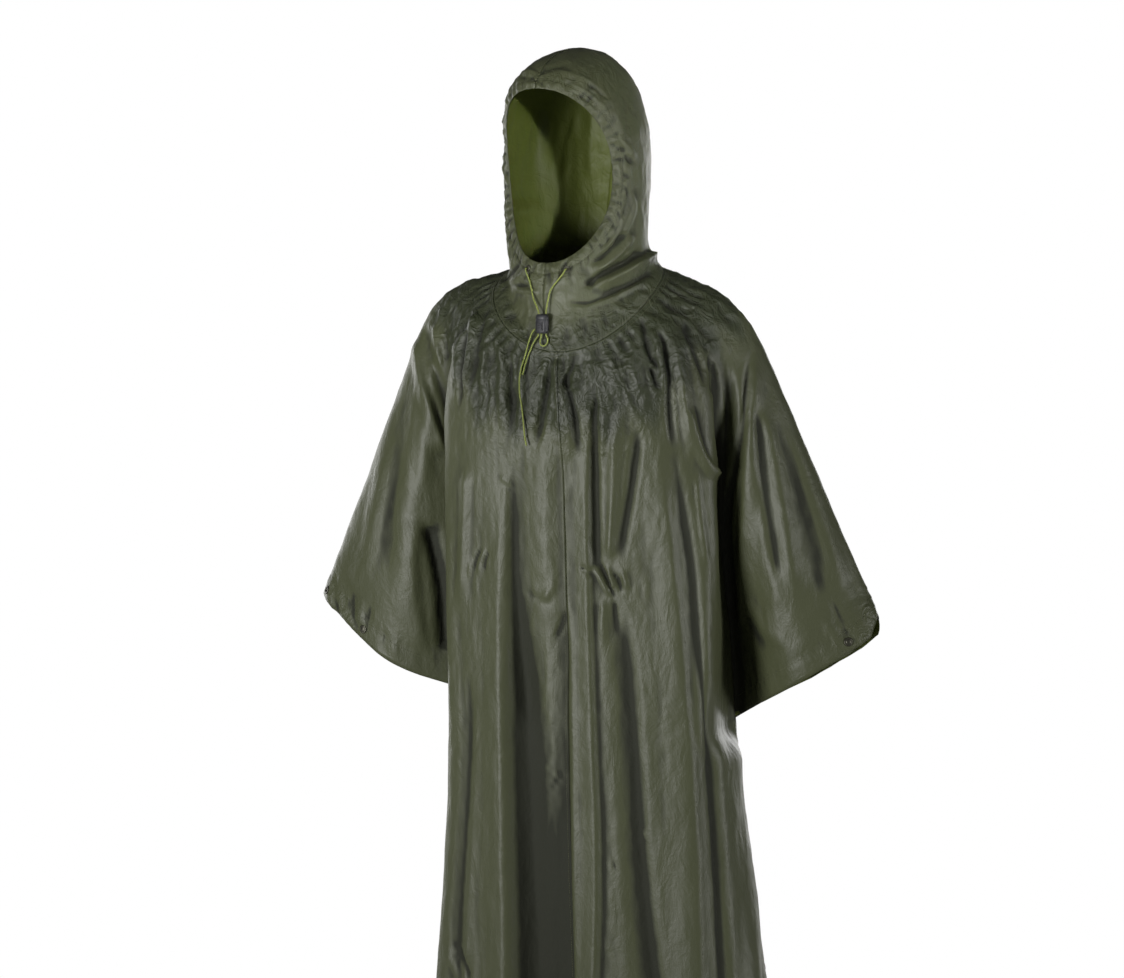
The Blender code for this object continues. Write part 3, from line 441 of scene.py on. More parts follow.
def makeLock():
    place = lockPlace()
    wide, deep, tall = lockSizes["size"]
    mesh = bmesh.new()
    rings = []
    upper = lockSizes["profile"]
    for height, scale in [(-height, scale) for height, scale in upper[:0:-1]] + list(upper):
        ring = []
        for k in range(lockSizes["sides"]):
            a = 2 * math.pi * k / lockSizes["sides"]
            x = wide / 2 * scale * power(math.cos(a), lockSizes["squareness"])
            y = deep / 2 * scale * power(math.sin(a), lockSizes["squareness"])
            ring.append(mesh.verts.new(place @ Vector((x, y, tall * height))))
        rings.append(ring)
    for ring, after in zip(rings, rings[1:]):
        for k in range(lockSizes["sides"]):
            mesh.faces.new((ring[k - 1], ring[k], after[k], after[k - 1]))
    mouth = lockSizes["mouth"]
    for ring, height in ((rings[0], -mouth), (rings[-1], mouth)):  # the mouths dip where the cord goes in
        middle = mesh.verts.new(place @ Vector((0, 0, tall * height)))
        for k in range(lockSizes["sides"]):
            mesh.faces.new((ring[k - 1], ring[k], middle))
    bmesh.ops.recalc_face_normals(mesh, faces=mesh.faces)
    data = bpy.data.meshes.new("cordLockBarrel")
    mesh.to_mesh(data)
    mesh.free()
    data.shade_smooth()
    barrel = newPiece("cord_lock_barrel", data, mouldedPlastic)

    wide, thick, tall = lockSizes["button"]
    front = -deep / 2 - lockSizes["gap"]
    mesh = bmesh.new()
    across, upward = lockSizes["buttonGrid"]
    grid = []
    for i in range(upward + 1):
        line = []
        for j in range(across + 1):
            x, z = j / across * 2 - 1, i / upward * 2 - 1
            rim = (1 - abs(x) ** lockSizes["rimAcross"]) * (1 - abs(z) ** lockSizes["rimUp"])
            rib = lockSizes["ribHeight"] * math.cos(z * math.pi * lockSizes["ribs"]) * rim
            y = front - thick * (lockSizes["edge"] + lockSizes["crown"] * rim ** 0.5 + rib)
            spot = Vector((x * wide / 2, y, z * tall / 2 - lockSizes["buttonDrop"]))
            line.append(mesh.verts.new(place @ spot))
        grid.append(line)
    for i in range(upward):
        for j in range(across):
            mesh.faces.new((grid[i][j], grid[i][j + 1], grid[i + 1][j + 1], grid[i + 1][j]))
    edge = [e for e in mesh.edges if e.is_boundary]
    grown = bmesh.ops.extrude_edge_only(mesh, edges=edge)["geom"]
    base = {v for v in grown if isinstance(v, bmesh.types.BMVert)}
    turnBack = place.inverted()
    for vert in base:
        spot = turnBack @ vert.co
        vert.co = place @ Vector((spot.x, front, spot.z))
    bmesh.ops.contextual_create(mesh, geom=[e for e in mesh.edges if e.is_boundary])
    bmesh.ops.recalc_face_normals(mesh, faces=mesh.faces)
    data = bpy.data.meshes.new("cordLockButton")
    mesh.to_mesh(data)
    mesh.free()
    data.shade_smooth()
    button = newPiece("cord_lock_thumb_button", data, mouldedPlastic)
    for piece, node in ((barrel, "cord_lock"), (button, "cord_lock_button")):
        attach(piece, "root")
        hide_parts(node)
    return barrel, button


barrel, button = makeLock()
cordEnds = {"cord_right": "fitting", "cord_left": "object", "cord_loop": "object",
            "cord_long_end": "bare", "cord_short_end": "bare"}
for cordName, ending in cordEnds.items():
    cordPiece, cordRoute, cordLength = makeCord(cordName)
print("drawcord and lock")


hoodForm = {
    "axisY": -20, "neckClear": 0.04, "columns": 120, "seamGap": 0.5,
    "stepRows": (14, 14, 12, 12, 12, 16, 16, 14, 12),
    "names": ("topY", "topZ", "bottomY", "bottomZ", "halfWidth", "bow", "square", "taper", "turn"),
    "rings": (
        (-146, 268, -119, 24, 92, -50, 0.88, 0.08, 14),
        (-130, 294, -123, 4, 111, -52, 0.90, 0.14, 14),
        (-98, 315, -125, -18, 118, -42, 0.93, 0.18, 14),
        (-52, 329, -127, -38, 117, -28, 0.96, 0.18, 13),
        (2, 325, -128, -55, 113, -14, 0.98, 0.15, 12),
        (46, 290, -130, -68, 109, -2, 0.98, 0.12, 11),
        (66, 220, -131, -79, 105, 8, 0.98, 0.09, 9),
        (64, 140, -132, -88, 103, 18, 1.00, 0.06, 6),
        (58, 70, -132, -95, 107, 29, 1.00, 0.03, 3),
        (74, 22, -132, -101, 124, 40, 1.00, 0, 0),
    ),
}
bodyForm = {
    "frontColumns": 112, "sleeveColumns": 44, "backColumns": 62,
    "stepRows": (20, 16, 16, 16, 18, 18, 18, 14, 14, 14, 14),
    "cuffRow": 7, "openedRows": 0.6, "lapOffset": 2.75, "lapGap": 40, "backWidest": 36, "gapRise": 0.28,
    "leftLapShift": (5, 51, 0), "leftLapTurn": 28, "leftLapGap": (8, 58),
    "leftBackIn": 22, "leftBackForward": 30, "puffOut": 0.1, "leftSleeveDrop": 24, "rightSleeveReach": 19,
    "rightShoulderRise": 8, "rightCuffSag": 18, "leftCuffSag": 7,
    "dropReach": (250, 427), "standReach": (110, 210), "riseReach": (200, 320), "denseSteps": 40,
    "neckAngles": (180, 160, 140, 120, 104, 86, 68, 57, 46, 36, 24, 12, 0),
    "ovalAngles": (28, 52, 76), "ovalSquare": 0.86, "frontKey": 4, "reachKey": 6, "backKey": 8,
    "names": ("seamX", "frontY", "frontZ", "width", "wideY", "underX", "underY", "underZ", "gap",
              "reach", "reachY", "reachZ", "puff", "backY", "backZ"),
    "rings": (
        (2, -131, -160, 156, -76, 168, -62, -60, 130, 170, 0, -8, 7, 104, -18),
        (3, -127, -218, 186, -64, 197, -46, -108, 108, 212, 5, -33, 10, 117, -68),
        (4, -121, -280, 204, -52, 208, -27, -172, 90, 247, 10, -76, 18, 123, -132),
        (4, -115, -352, 209, -44, 199, -8, -255, 66, 289, 18, -166, 34, 126, -222),
        (4, -109, -440, 210, -38, 189, 10, -368, 46, 343, 33, -288, 48, 130, -340),
        (4, -104, -530, 210, -34, 186, 24, -492, 24, 386, 43, -382, 54, 134, -465),
        (2, -101, -618, 208, -30, 185, 36, -614, 0, 422, 50, -470, 50, 140, -600),
        (2, -98, -735, 211, -26, 189, 40, -735, -22, 0, 0, 0, 0, 148, -733),
        (3, -95, -862, 220, -23, 202, 44, -862, -24, 0, 0, 0, 0, 158, -862),
        (5, -92, -990, 233, -20, 219, 48, -990, -24, 0, 0, 0, 0, 168, -990),
        (6, -88, -1117, 245, -17, 235, 52, -1117, -24, 0, 0, 0, 0, 178, -1117),
    ),
    # how far the cuff's edge moves out and up, from the fold (0) to the side (1)
    "cuffNames": ("place", "rightOut", "rightUp", "leftOut", "leftUp"),
    "cuffShape": ((0, 5, -1, -5, 21), (0.11, 6, -1, 13, 3), (0.22, 3, 0, 12, -1), (0.5, 3, -1, 8, 2),
                  (0.7, 3, -2, 5, 3), (1, 0, 0, 0, 0)),
}


def stepPlaces(counts):  # places between the rings, each step cut into its own number of rows
    return np.concatenate([[0]] + [k + np.arange(1, n + 1) / n for k, n in enumerate(counts)])


def turned(points, degrees):
    angle = np.radians(-degrees)
    x, y = points[..., 0], points[..., 1] - hoodForm["axisY"]
    out = points.copy()
    out[..., 0] = x * np.cos(angle) - y * np.sin(angle)
    out[..., 1] = x * np.sin(angle) + y * np.cos(angle) + hoodForm["axisY"]
    return out


def hoodRing(place, angles, side):
    rows = np.array(hoodForm["rings"], float)
    at = dict(zip(hoodForm["names"], spline(np.arange(len(rows)), rows, [place])[0]))
    middle = np.array([at["topY"] + at["bottomY"], at["topZ"] + at["bottomZ"]]) / 2
    half = np.array([at["topY"] - at["bottomY"], at["topZ"] - at["bottomZ"]]) / 2
    across = np.array([-half[1], half[0]]) / np.hypot(*half)
    angles = np.radians(np.asarray(angles, float))
    along = power(np.cos(angles), at["square"])[:, None]
    flat = middle + along * half + (at["bow"] * np.sin(angles) ** 2)[:, None] * across
    narrowed = 1 - at["taper"] * (1 - np.cos(angles)) / 2
    wide = side * at["halfWidth"] * narrowed * power(np.sin(angles), at["square"])
    return turned(np.column_stack([wide, flat]), at["turn"])


def ovalPoints(width, endY, endZ, widestY, sideZ):
    angles = np.radians(bodyForm["ovalAngles"])
    x = width * power(np.sin(angles), bodyForm["ovalSquare"])
    y = widestY + (endY - widestY) * power(np.cos(angles), bodyForm["ovalSquare"])
    return np.column_stack([x, y, endZ + (sideZ - endZ) * np.sin(angles) ** 2])


def lapAxes(degrees):  # along and out of a lap that is turned towards the back
    angle = math.radians(degrees)
    return np.array([-math.sin(angle), math.cos(angle), 0]), np.array([math.cos(angle), math.sin(angle), 0])


def bodyKeys(row, side):
    form = bodyForm
    sleeve = row["reach"] > 0
    raised = easeOver(row["reach"], *form["dropReach"])
    drop = form["leftSleeveDrop"] * raised if side > 0 else 0
    more = form["rightSleeveReach"] * easeOver(row["reach"], *form["standReach"]) if side < 0 else 0
    rise = form["rightShoulderRise"] * (1 - easeOver(row["reach"], *form["riseReach"])) if side < 0 else 0
    closed = ease(1 - row["gap"] / form["lapGap"])
    left = 1 - easeOver(row["gap"], *form["leftLapGap"]) if side > 0 else 0
    along, out = lapAxes(form["leftLapTurn"] * left)
    shift = np.array(form["leftLapShift"]) * left
    middle = np.array([row["underX"], row["underY"], row["underZ"] - drop]) + shift
    frontUnder = middle + out * form["lapOffset"] * closed - along * min(row["gap"], 0) / 2
    backUnder = frontUnder - 2 * out * form["lapOffset"] * closed + along * row["gap"]
    backUnder[2] += form["gapRise"] * max(row["gap"], 0)
    front = ovalPoints(row["width"], row["frontY"], row["frontZ"], row["wideY"], frontUnder[2])
    backWidestY = backUnder[1] + form["backWidest"] - form["leftBackForward"] * left - min(row["gap"], 0)
    backWidth = row["width"] - form["leftBackIn"] * left
    back = ovalPoints(backWidth, row["backY"], row["backZ"], backWidestY, backUnder[2])
    reach = np.array([row["reach"] + more, row["reachY"], row["reachZ"] + rise - drop])
    sag = raised * (form["leftCuffSag"] if side > 0 else form["rightCuffSag"])
    fill = np.array([form["puffOut"] * row["puff"], -row["puff"], -sag])
    frontFill = (frontUnder - shift + reach) / 2 + fill
    backFill = (backUnder - shift + reach) / 2 + fill * [1, -1, 1]
    if not sleeve:
        reach = frontFill = backFill = (frontUnder + backUnder) / 2
    keys = np.vstack([[[0, row["frontY"], row["frontZ"]]], front,
                      [frontUnder, frontFill, reach, backFill, backUnder],
                      back[::-1], [[0, row["backY"], row["backZ"]]]])
    past = max(row["reach"] - row["underX"], 1)
    spare = np.clip((row["reach"] - keys[:, 0]) / past, 0, 1) if sleeve else 1
    keys[:, 0] = side * keys[:, 0] + row["seamX"] * spare
    return keys


def columnCounts():
    form = bodyForm
    return form["frontColumns"], form["sleeveColumns"], form["sleeveColumns"], form["backColumns"]


def halfRing(keys, side, opened):
    # opened is 0 with a sleeve and grows to 1 below it, where the side edges lap
    a, b, c = bodyForm["frontKey"], bodyForm["reachKey"], bodyForm["backKey"]
    halfGap = hoodForm["seamGap"] / 2
    before = [2 * keys[0, 0], 0, 0] + keys[1] * [-1, 1, 1]
    after = [2 * keys[-1, 0], 0, 0] + keys[-2] * [-1, 1, 1]
    full = np.vstack([before, keys, after])
    cuts, counts = [1, a + 1, b + 1, c + 1, len(keys)], columnCounts()
    trims = ((halfGap, 0), (0, 0), (0, 0), (0, halfGap))
    parts = []
    for first, last, count, trim in zip(cuts, cuts[1:], counts, trims):
        steps = np.linspace(first, last, (last - first) * bodyForm["denseSteps"] + 1)
        dense = spline(np.arange(len(full)), full, steps)
        parts.append(alongCurve(dense, 0, count, trim))
    if opened:
        edge, backEdge = keys[a], keys[c]
        along = lapAxes(bodyForm["leftLapTurn"] if side > 0 else 0)[0]
        lap = along * ((edge - backEdge) @ along)
        front = np.vstack([before, keys[:a], edge - lap, edge])
        back = np.vstack([backEdge, backEdge + lap, keys[c + 1:], after])
        for place, points, first, last in ((0, front, 1, len(front) - 1), (3, back, 0, len(back) - 2)):
            lapped = alongCurve(chordCurve(points, first, last), 0, counts[place], trims[place])
            parts[place] += (lapped - parts[place]) * opened
        parts[1][:], parts[2][:] = np.nan, np.nan
        parts[2][-1] = parts[3][0]
    return np.vstack([part[1 if place else 0:] for place, part in enumerate(parts)])


def neckRing(side):
    form = bodyForm
    angles = form["neckAngles"]
    cuts = [angles[key] for key in (0, form["frontKey"], form["reachKey"], form["backKey"], len(angles) - 1)]
    halfGap = hoodForm["seamGap"] / 2
    out = []
    for place, count in enumerate(columnCounts()):
        dense = hoodRing(len(hoodForm["rings"]) - 1, np.linspace(cuts[place], cuts[place + 1], 240), side)
        trim = (halfGap if place == 0 else 0, halfGap if place == 3 else 0)
        out.append(alongCurve(dense, 1 if place else 0, count, trim))
    return np.vstack(out)


def cuffShift(side, rows):
    word = "left" if side > 0 else "right"
    shape = dict(zip(bodyForm["cuffNames"], np.array(bodyForm["cuffShape"], float).T))
    front, sleeve = columnCounts()[:2]
    away = np.abs(np.arange(sum(columnCounts()) + 1) - front - sleeve) / sleeve
    out, up = [np.interp(away, shape["place"], shape[word + way]) for way in ("Out", "Up")]
    grown = ease(rows - bodyForm["cuffRow"] + 1) * (rows <= bodyForm["cuffRow"])
    return grown[:, None, None] * np.stack([side * out, 0 * out, up], axis=-1)


def bodyGrid(side, rows):
    form = bodyForm
    cuff = form["cuffRow"]
    neck = hoodRing(len(hoodForm["rings"]) - 1, form["neckAngles"], side)
    keyRows = np.array([neck] + [bodyKeys(row, side) for row in namedRows(form["names"], form["rings"])])
    places = np.arange(len(keyRows))
    upper = spline(places[:cuff + 1], keyRows[:cuff + 1], np.minimum(rows, cuff))
    whole = spline(places, keyRows, rows)
    rings = [neckRing(side)]
    for i, row in enumerate(rows[1:], 1):
        keys = whole[i].copy()
        if row <= cuff:
            keys[form["frontKey"] + 1:form["backKey"]] = upper[i][form["frontKey"] + 1:form["backKey"]]
        rings.append(halfRing(keys, side, ease((row - cuff) / form["openedRows"])))
    return np.array(rings) + cuffShift(side, rows)


# Creases, laid out one by one. Those on the camera's side are in the view's pixels, and fromPixels turns them
# to mm on a plane across the view, through its aim. Those of the back are in mm on a plane across the back, u
# across and v up.
# height is in mm; left and right are a crease's half widths towards the viewer's left and right. Each of the
# three is given at the crease's start and at its end. crisp 1 has a sharp crest and 0 a round one. fade is
# the share of its length over which it rises and falls, and line holds its points.
creaseNames = ("height", "left", "right", "crisp", "fade", "line")
creaseLayout = {
    "pixel": 1.45,  # mm on the plane for a pixel of the frame, which is 1124 by 978
    "zero": (590, 280),  # the pixel that shows the origin
    "crest": 1.4,  # over 1, a sharp crest's sides are hollow
    "smallFolds": (1.25, 1.25),  # how much higher the ridges and the valleys of a table are made
    "sleeveFolds": (1.1, 0.75),
    "hoodLowFolds": (1.5, 1.5),
}


def fromPixels(creases, raised=(1, 1)):  # rows in pixels, to rows in whole mm with their heights raised
    pixel, (middle, top) = creaseLayout["pixel"], creaseLayout["zero"]
    rows = []
    for height, left, right, crisp, fade, line in creases:
        height = tuple(round(h * raised[0 if h > 0 else 1], 1) for h in height)
        left, right = [tuple(round(reach * pixel) for reach in reaches) for reaches in (left, right)]
        line = tuple((round((x - middle) * pixel), round((top - y) * pixel)) for x, y in line)
        rows.append((height, left, right, crisp, fade, line))
    return rows


# long folds of the front, from the wearer's right to the left
longFolds = (
    ((5, 6), (9, 10), (8, 9), 0.6, (0.12, 0.3), ((466, 466), (465, 520), (463, 570), (460, 620))),
    ((6, 12), (20, 32), (13, 18), 0.5, (0.2, 0), (
        (500, 466), (501, 560), (500, 640), (501, 720), (503, 800), (504, 880), (506, 978), (506, 1070),
    )),
    ((-9, -28), (18, 30), (34, 56), 0.1, (0.25, 0), (
        (519, 560), (521, 640), (524, 720), (527, 800), (531, 880), (535, 978), (536, 1070),
    )),
    ((-4, -8), (9, 12), (16, 22), 0.3, (0.25, 0.15), (
        (512, 440), (514, 520), (516, 600), (519, 680), (526, 740),
    )),
    ((-4, -15), (20, 34), (5, 6), 0.2, (0.12, 0), (
        (564, 590), (567, 660), (567, 720), (568, 800), (568, 880), (569, 978), (569, 1070),
    )),
    ((5, 4), (22, 20), (17, 16), 0.1, (0.2, 0.4), ((544, 420), (545, 500), (547, 580), (550, 660))),
    ((5, 9), (14, 20), (6, 8), 0.6, (0.15, 0), (
        (585, 425), (586, 500), (588, 580), (590, 660), (593, 740), (596, 820), (597, 900), (595, 978),
        (593, 1070),
    )),
    ((-7, -6), (7, 7), (8, 8), 0.3, (0.2, 0.2), ((594, 425), (595, 480), (596, 530), (596, 580))),
    ((-6, -9), (22, 26), (14, 18), 0.3, (0.15, 0), (
        (616, 590), (626, 660), (632, 740), (637, 820), (644, 900), (652, 978), (660, 1070),
    )),
    ((6, 5), (13, 5), (14, 6), 0.3, (0.15, 0.1), ((616, 415), (614, 460), (612, 510), (609, 560))),
    ((-6, -5), (9, 7), (9, 9), 0.4, (0.2, 0.2), ((640, 425), (633, 475), (626, 520), (618, 562))),
    ((6, 9), (24, 40), (10, 14), 0.3, (0.2, 0), (
        (656, 425), (664, 490), (672, 560), (678, 620), (684, 690), (690, 760), (696, 860), (699, 978),
        (702, 1070),
    )),
    ((-5, -7), (8, 10), (10, 16), 0.4, (0.15, 0), (
        (670, 432), (677, 470), (684, 520), (690, 560), (697, 640), (704, 700), (712, 800), (717, 880),
        (722, 978), (726, 1070),
    )),
    ((4, 7), (9, 16), (6, 10), 0.2, (0.2, 0), (
        (704, 460), (715, 520), (722, 580), (728, 650), (737, 720), (748, 800), (752, 880), (755, 978),
        (760, 1070),
    )),
    ((3, 3), (5, 6), (6, 6), 0.4, (0.2, 0.2), ((696, 470), (701, 520), (708, 570))),
)
smallFolds = (
    ((-4, -4), (12, 16), (10, 10), 0.3, (0.25, 0), (
        (470, 640), (468, 740), (463, 840), (458, 920), (456, 978), (454, 1070),
    )),
    # under the neck: the upturned V and the creases that run down from the yoke
    ((6, 4), (7, 22), (7, 24), 0.4, (0.05, 0.5), ((556, 358), (558, 390), (561, 430), (563, 480))),
    ((-5, -4), (6, 8), (5, 8), 0.5, (0.2, 0.35), ((551, 366), (546, 395), (541, 425), (536, 452))),
    ((-4, -3), (5, 8), (7, 10), 0.5, (0.2, 0.35), ((563, 368), (570, 398), (576, 430), (579, 462))),
    ((-5, -4), (4, 4), (7, 6), 0.7, (0.15, 0.2), ((579, 333), (574, 355), (570, 372), (562, 386))),
    ((3, 3), (4, 5), (5, 5), 0.6, (0.3, 0.3), ((578, 378), (570, 389), (560, 391))),
    ((4, 3), (6, 8), (5, 7), 0.4, (0.25, 0.4), ((566, 392), (569, 415), (570, 450))),
    ((4, 3), (6, 8), (7, 8), 0.5, (0.2, 0.4), ((603, 402), (603, 430), (602, 462))),
    ((-4, -3), (4, 6), (6, 8), 0.6, (0.2, 0.35), ((597, 396), (594, 418), (592, 440))),
    ((3, 2), (10, 12), (10, 10), 0.2, (0.3, 0.4), ((630, 345), (637, 378), (645, 412))),
    ((-5, -4), (5, 5), (7, 6), 0.7, (0.15, 0.15), ((642, 314), (645, 340), (651, 358), (660, 368))),
    ((-4, -3), (4, 4), (5, 6), 0.6, (0.2, 0.3), ((650, 366), (654, 378), (657, 392))),
    ((4, 5), (5, 6), (5, 7), 0.5, (0.2, 0.3), ((650, 326), (658, 348), (664, 375), (668, 402))),
    ((-5, -5), (5, 6), (6, 8), 0.6, (0.2, 0.2), (
        (657, 322), (664, 346), (668, 386), (670, 420), (672, 452),
    )),
    ((5, 6), (7, 10), (9, 12), 0.4, (0.2, 0.3), (
        (669, 326), (678, 360), (684, 396), (688, 430), (695, 470),
    )),
    ((-5, -4), (5, 6), (7, 8), 0.6, (0.15, 0.25), ((683, 315), (690, 340), (699, 362), (706, 392))),
    ((5, 7), (8, 12), (5, 5), 0.5, (0.2, 0.1), ((690, 404), (697, 436), (706, 460), (721, 477))),
    ((-5, -6), (4, 5), (6, 6), 0.6, (0.2, 0.15), (
        (712, 314), (715, 350), (716, 386), (718, 430), (723, 474),
    )),
    ((-3, -4), (4, 4), (4, 5), 0.6, (0.2, 0.2), ((708, 352), (711, 372), (713, 398))),
    ((5, 5), (6, 9), (6, 8), 0.4, (0.2, 0.3), ((722, 318), (727, 352), (728, 392), (727, 430))),
    # on the wearer's right of the lock
    ((-3, -3), (4, 4), (6, 6), 0.6, (0.2, 0.2), ((524, 309), (516, 320), (505, 334))),
    ((-3, -3), (3, 4), (5, 5), 0.6, (0.2, 0.2), ((529, 320), (522, 334), (513, 350))),
    ((3, 2), (4, 5), (4, 5), 0.5, (0.2, 0.3), ((519, 318), (512, 332), (503, 348))),
    ((-4, -4), (5, 6), (6, 8), 0.5, (0.15, 0.3), ((491, 300), (480, 332), (475, 362), (475, 392))),
    ((4, 4), (5, 7), (5, 6), 0.5, (0.15, 0.3), ((480, 300), (471, 334), (467, 368), (466, 404))),
    ((4, 4), (8, 12), (8, 12), 0.3, (0.25, 0.35), ((499, 322), (502, 356), (502, 396), (500, 440))),
    ((-3, -3), (5, 7), (5, 8), 0.4, (0.25, 0.35), ((512, 352), (511, 380), (512, 412), (511, 446))),
    ((3, 3), (5, 7), (6, 8), 0.4, (0.2, 0.4), ((523, 342), (521, 372), (522, 404), (521, 440))),
    ((-4, -3), (4, 5), (6, 6), 0.6, (0.15, 0.3), ((458, 305), (455, 326), (456, 348))),
    ((3, 4), (4, 6), (4, 5), 0.5, (0.2, 0.35), ((466, 300), (461, 322), (456, 352), (456, 388))),
    ((-3, -3), (4, 5), (5, 6), 0.5, (0.2, 0.3), ((470, 318), (463, 346), (461, 380), (461, 416))),
    ((3, 2), (5, 6), (5, 6), 0.4, (0.2, 0.3), ((487, 342), (484, 372), (484, 402))),
    # across the chest
    ((1.4, 1.4), (3, 3), (3, 3), 0.6, (0.2, 0.2), ((550, 323), (570, 324), (592, 323), (609, 321))),
    ((-1.4, -1.2), (3, 3), (3, 3), 0.6, (0.2, 0.2), ((576, 361), (596, 360), (622, 358))),
    ((-1.2, -1.2), (3, 3), (3, 3), 0.6, (0.2, 0.2), ((544, 369), (560, 369), (577, 367))),
    ((2.2, 2), (5, 5), (5, 5), 0.4, (0.25, 0.25), ((600, 338), (618, 334), (636, 326))),
    ((-2.2, -2), (4, 4), (5, 5), 0.5, (0.25, 0.25), ((590, 352), (608, 346), (630, 338))),
    ((2, 2), (4, 5), (4, 4), 0.5, (0.25, 0.25), ((608, 372), (622, 368), (634, 362))),
    ((2, 2), (6, 6), (6, 6), 0.3, (0.3, 0.3), ((540, 604), (550, 592), (558, 578))),
    ((-2, -2), (5, 5), (5, 5), 0.4, (0.3, 0.3), ((553, 640), (560, 628), (566, 610))),
    ((-1.6, -1.6), (6, 6), (5, 5), 0.4, (0.3, 0.3), ((523, 590), (538, 598), (556, 604))),
    # pinches
    ((1.4, 1.1), (4, 4), (4, 4), 0.5, (0.3, 0.3), ((499, 476), (505, 480), (512, 486))),
    ((-1.2, -1), (4, 4), (4, 4), 0.5, (0.3, 0.3), ((500, 483), (506, 486), (511, 493))),
    ((-4.5, -4), (3, 4), (4, 4), 0.6, (0.15, 0.2), ((580, 568), (586, 570), (592, 576))),
    ((3.6, 3), (4, 4), (3, 4), 0.6, (0.2, 0.2), ((592, 564), (597, 572), (604, 584), (610, 596))),
    ((-4, -3.6), (3, 3), (4, 4), 0.6, (0.15, 0.2), ((598, 562), (603, 571), (609, 584), (614, 598))),
    ((3.6, 3), (3, 3), (3, 4), 0.6, (0.2, 0.2), ((607, 566), (611, 578), (614, 592))),
    ((-3.4, -3), (3, 3), (3, 4), 0.6, (0.2, 0.2), ((613, 573), (618, 580), (621, 592))),
    ((3, 3), (3, 4), (4, 4), 0.6, (0.2, 0.2), ((620, 570), (625, 578), (627, 590))),
    ((-3, -2), (4, 6), (4, 6), 0.4, (0.15, 0.5), ((614, 600), (615, 616), (617, 640))),
    ((3, 2), (4, 8), (5, 8), 0.3, (0.15, 0.5), ((604, 600), (603, 620), (603, 650))),
    ((-2.6, -2.2), (3, 3), (3, 3), 0.6, (0.2, 0.2), ((482, 548), (476, 558), (474, 570))),
    ((2.4, 2), (3, 3), (3, 3), 0.6, (0.2, 0.2), ((486, 550), (481, 560), (479, 574))),
    ((-2.6, -2.2), (3, 3), (3, 3), 0.6, (0.2, 0.2), ((489, 551), (486, 560), (485, 570))),
    ((2.2, 2), (3, 3), (3, 3), 0.6, (0.2, 0.2), ((473, 562), (471, 568), (470, 578))),
    ((-1.5, -1.2), (4, 5), (5, 5), 0.4, (0.3, 0.3), ((562, 772), (555, 779), (548, 790))),
    ((1, 1), (5, 6), (4, 5), 0.4, (0.3, 0.3), ((552, 764), (543, 770), (533, 772))),
    ((1.6, 1.6), (4, 4), (4, 4), 0.5, (0.3, 0.3), ((634, 846), (642, 838), (650, 830))),
    ((-1.6, -1.6), (4, 4), (4, 4), 0.5, (0.3, 0.3), ((612, 858), (615, 866), (621, 874))),
    # the turned-up corner low on the wearer's right
    ((-3, -4), (5, 6), (5, 6), 0.5, (0.2, 0.2), ((448, 940), (457, 950), (464, 963), (470, 982))),
    ((2.6, 3), (6, 6), (5, 6), 0.4, (0.2, 0.2), ((444, 952), (452, 964), (457, 984))),
)
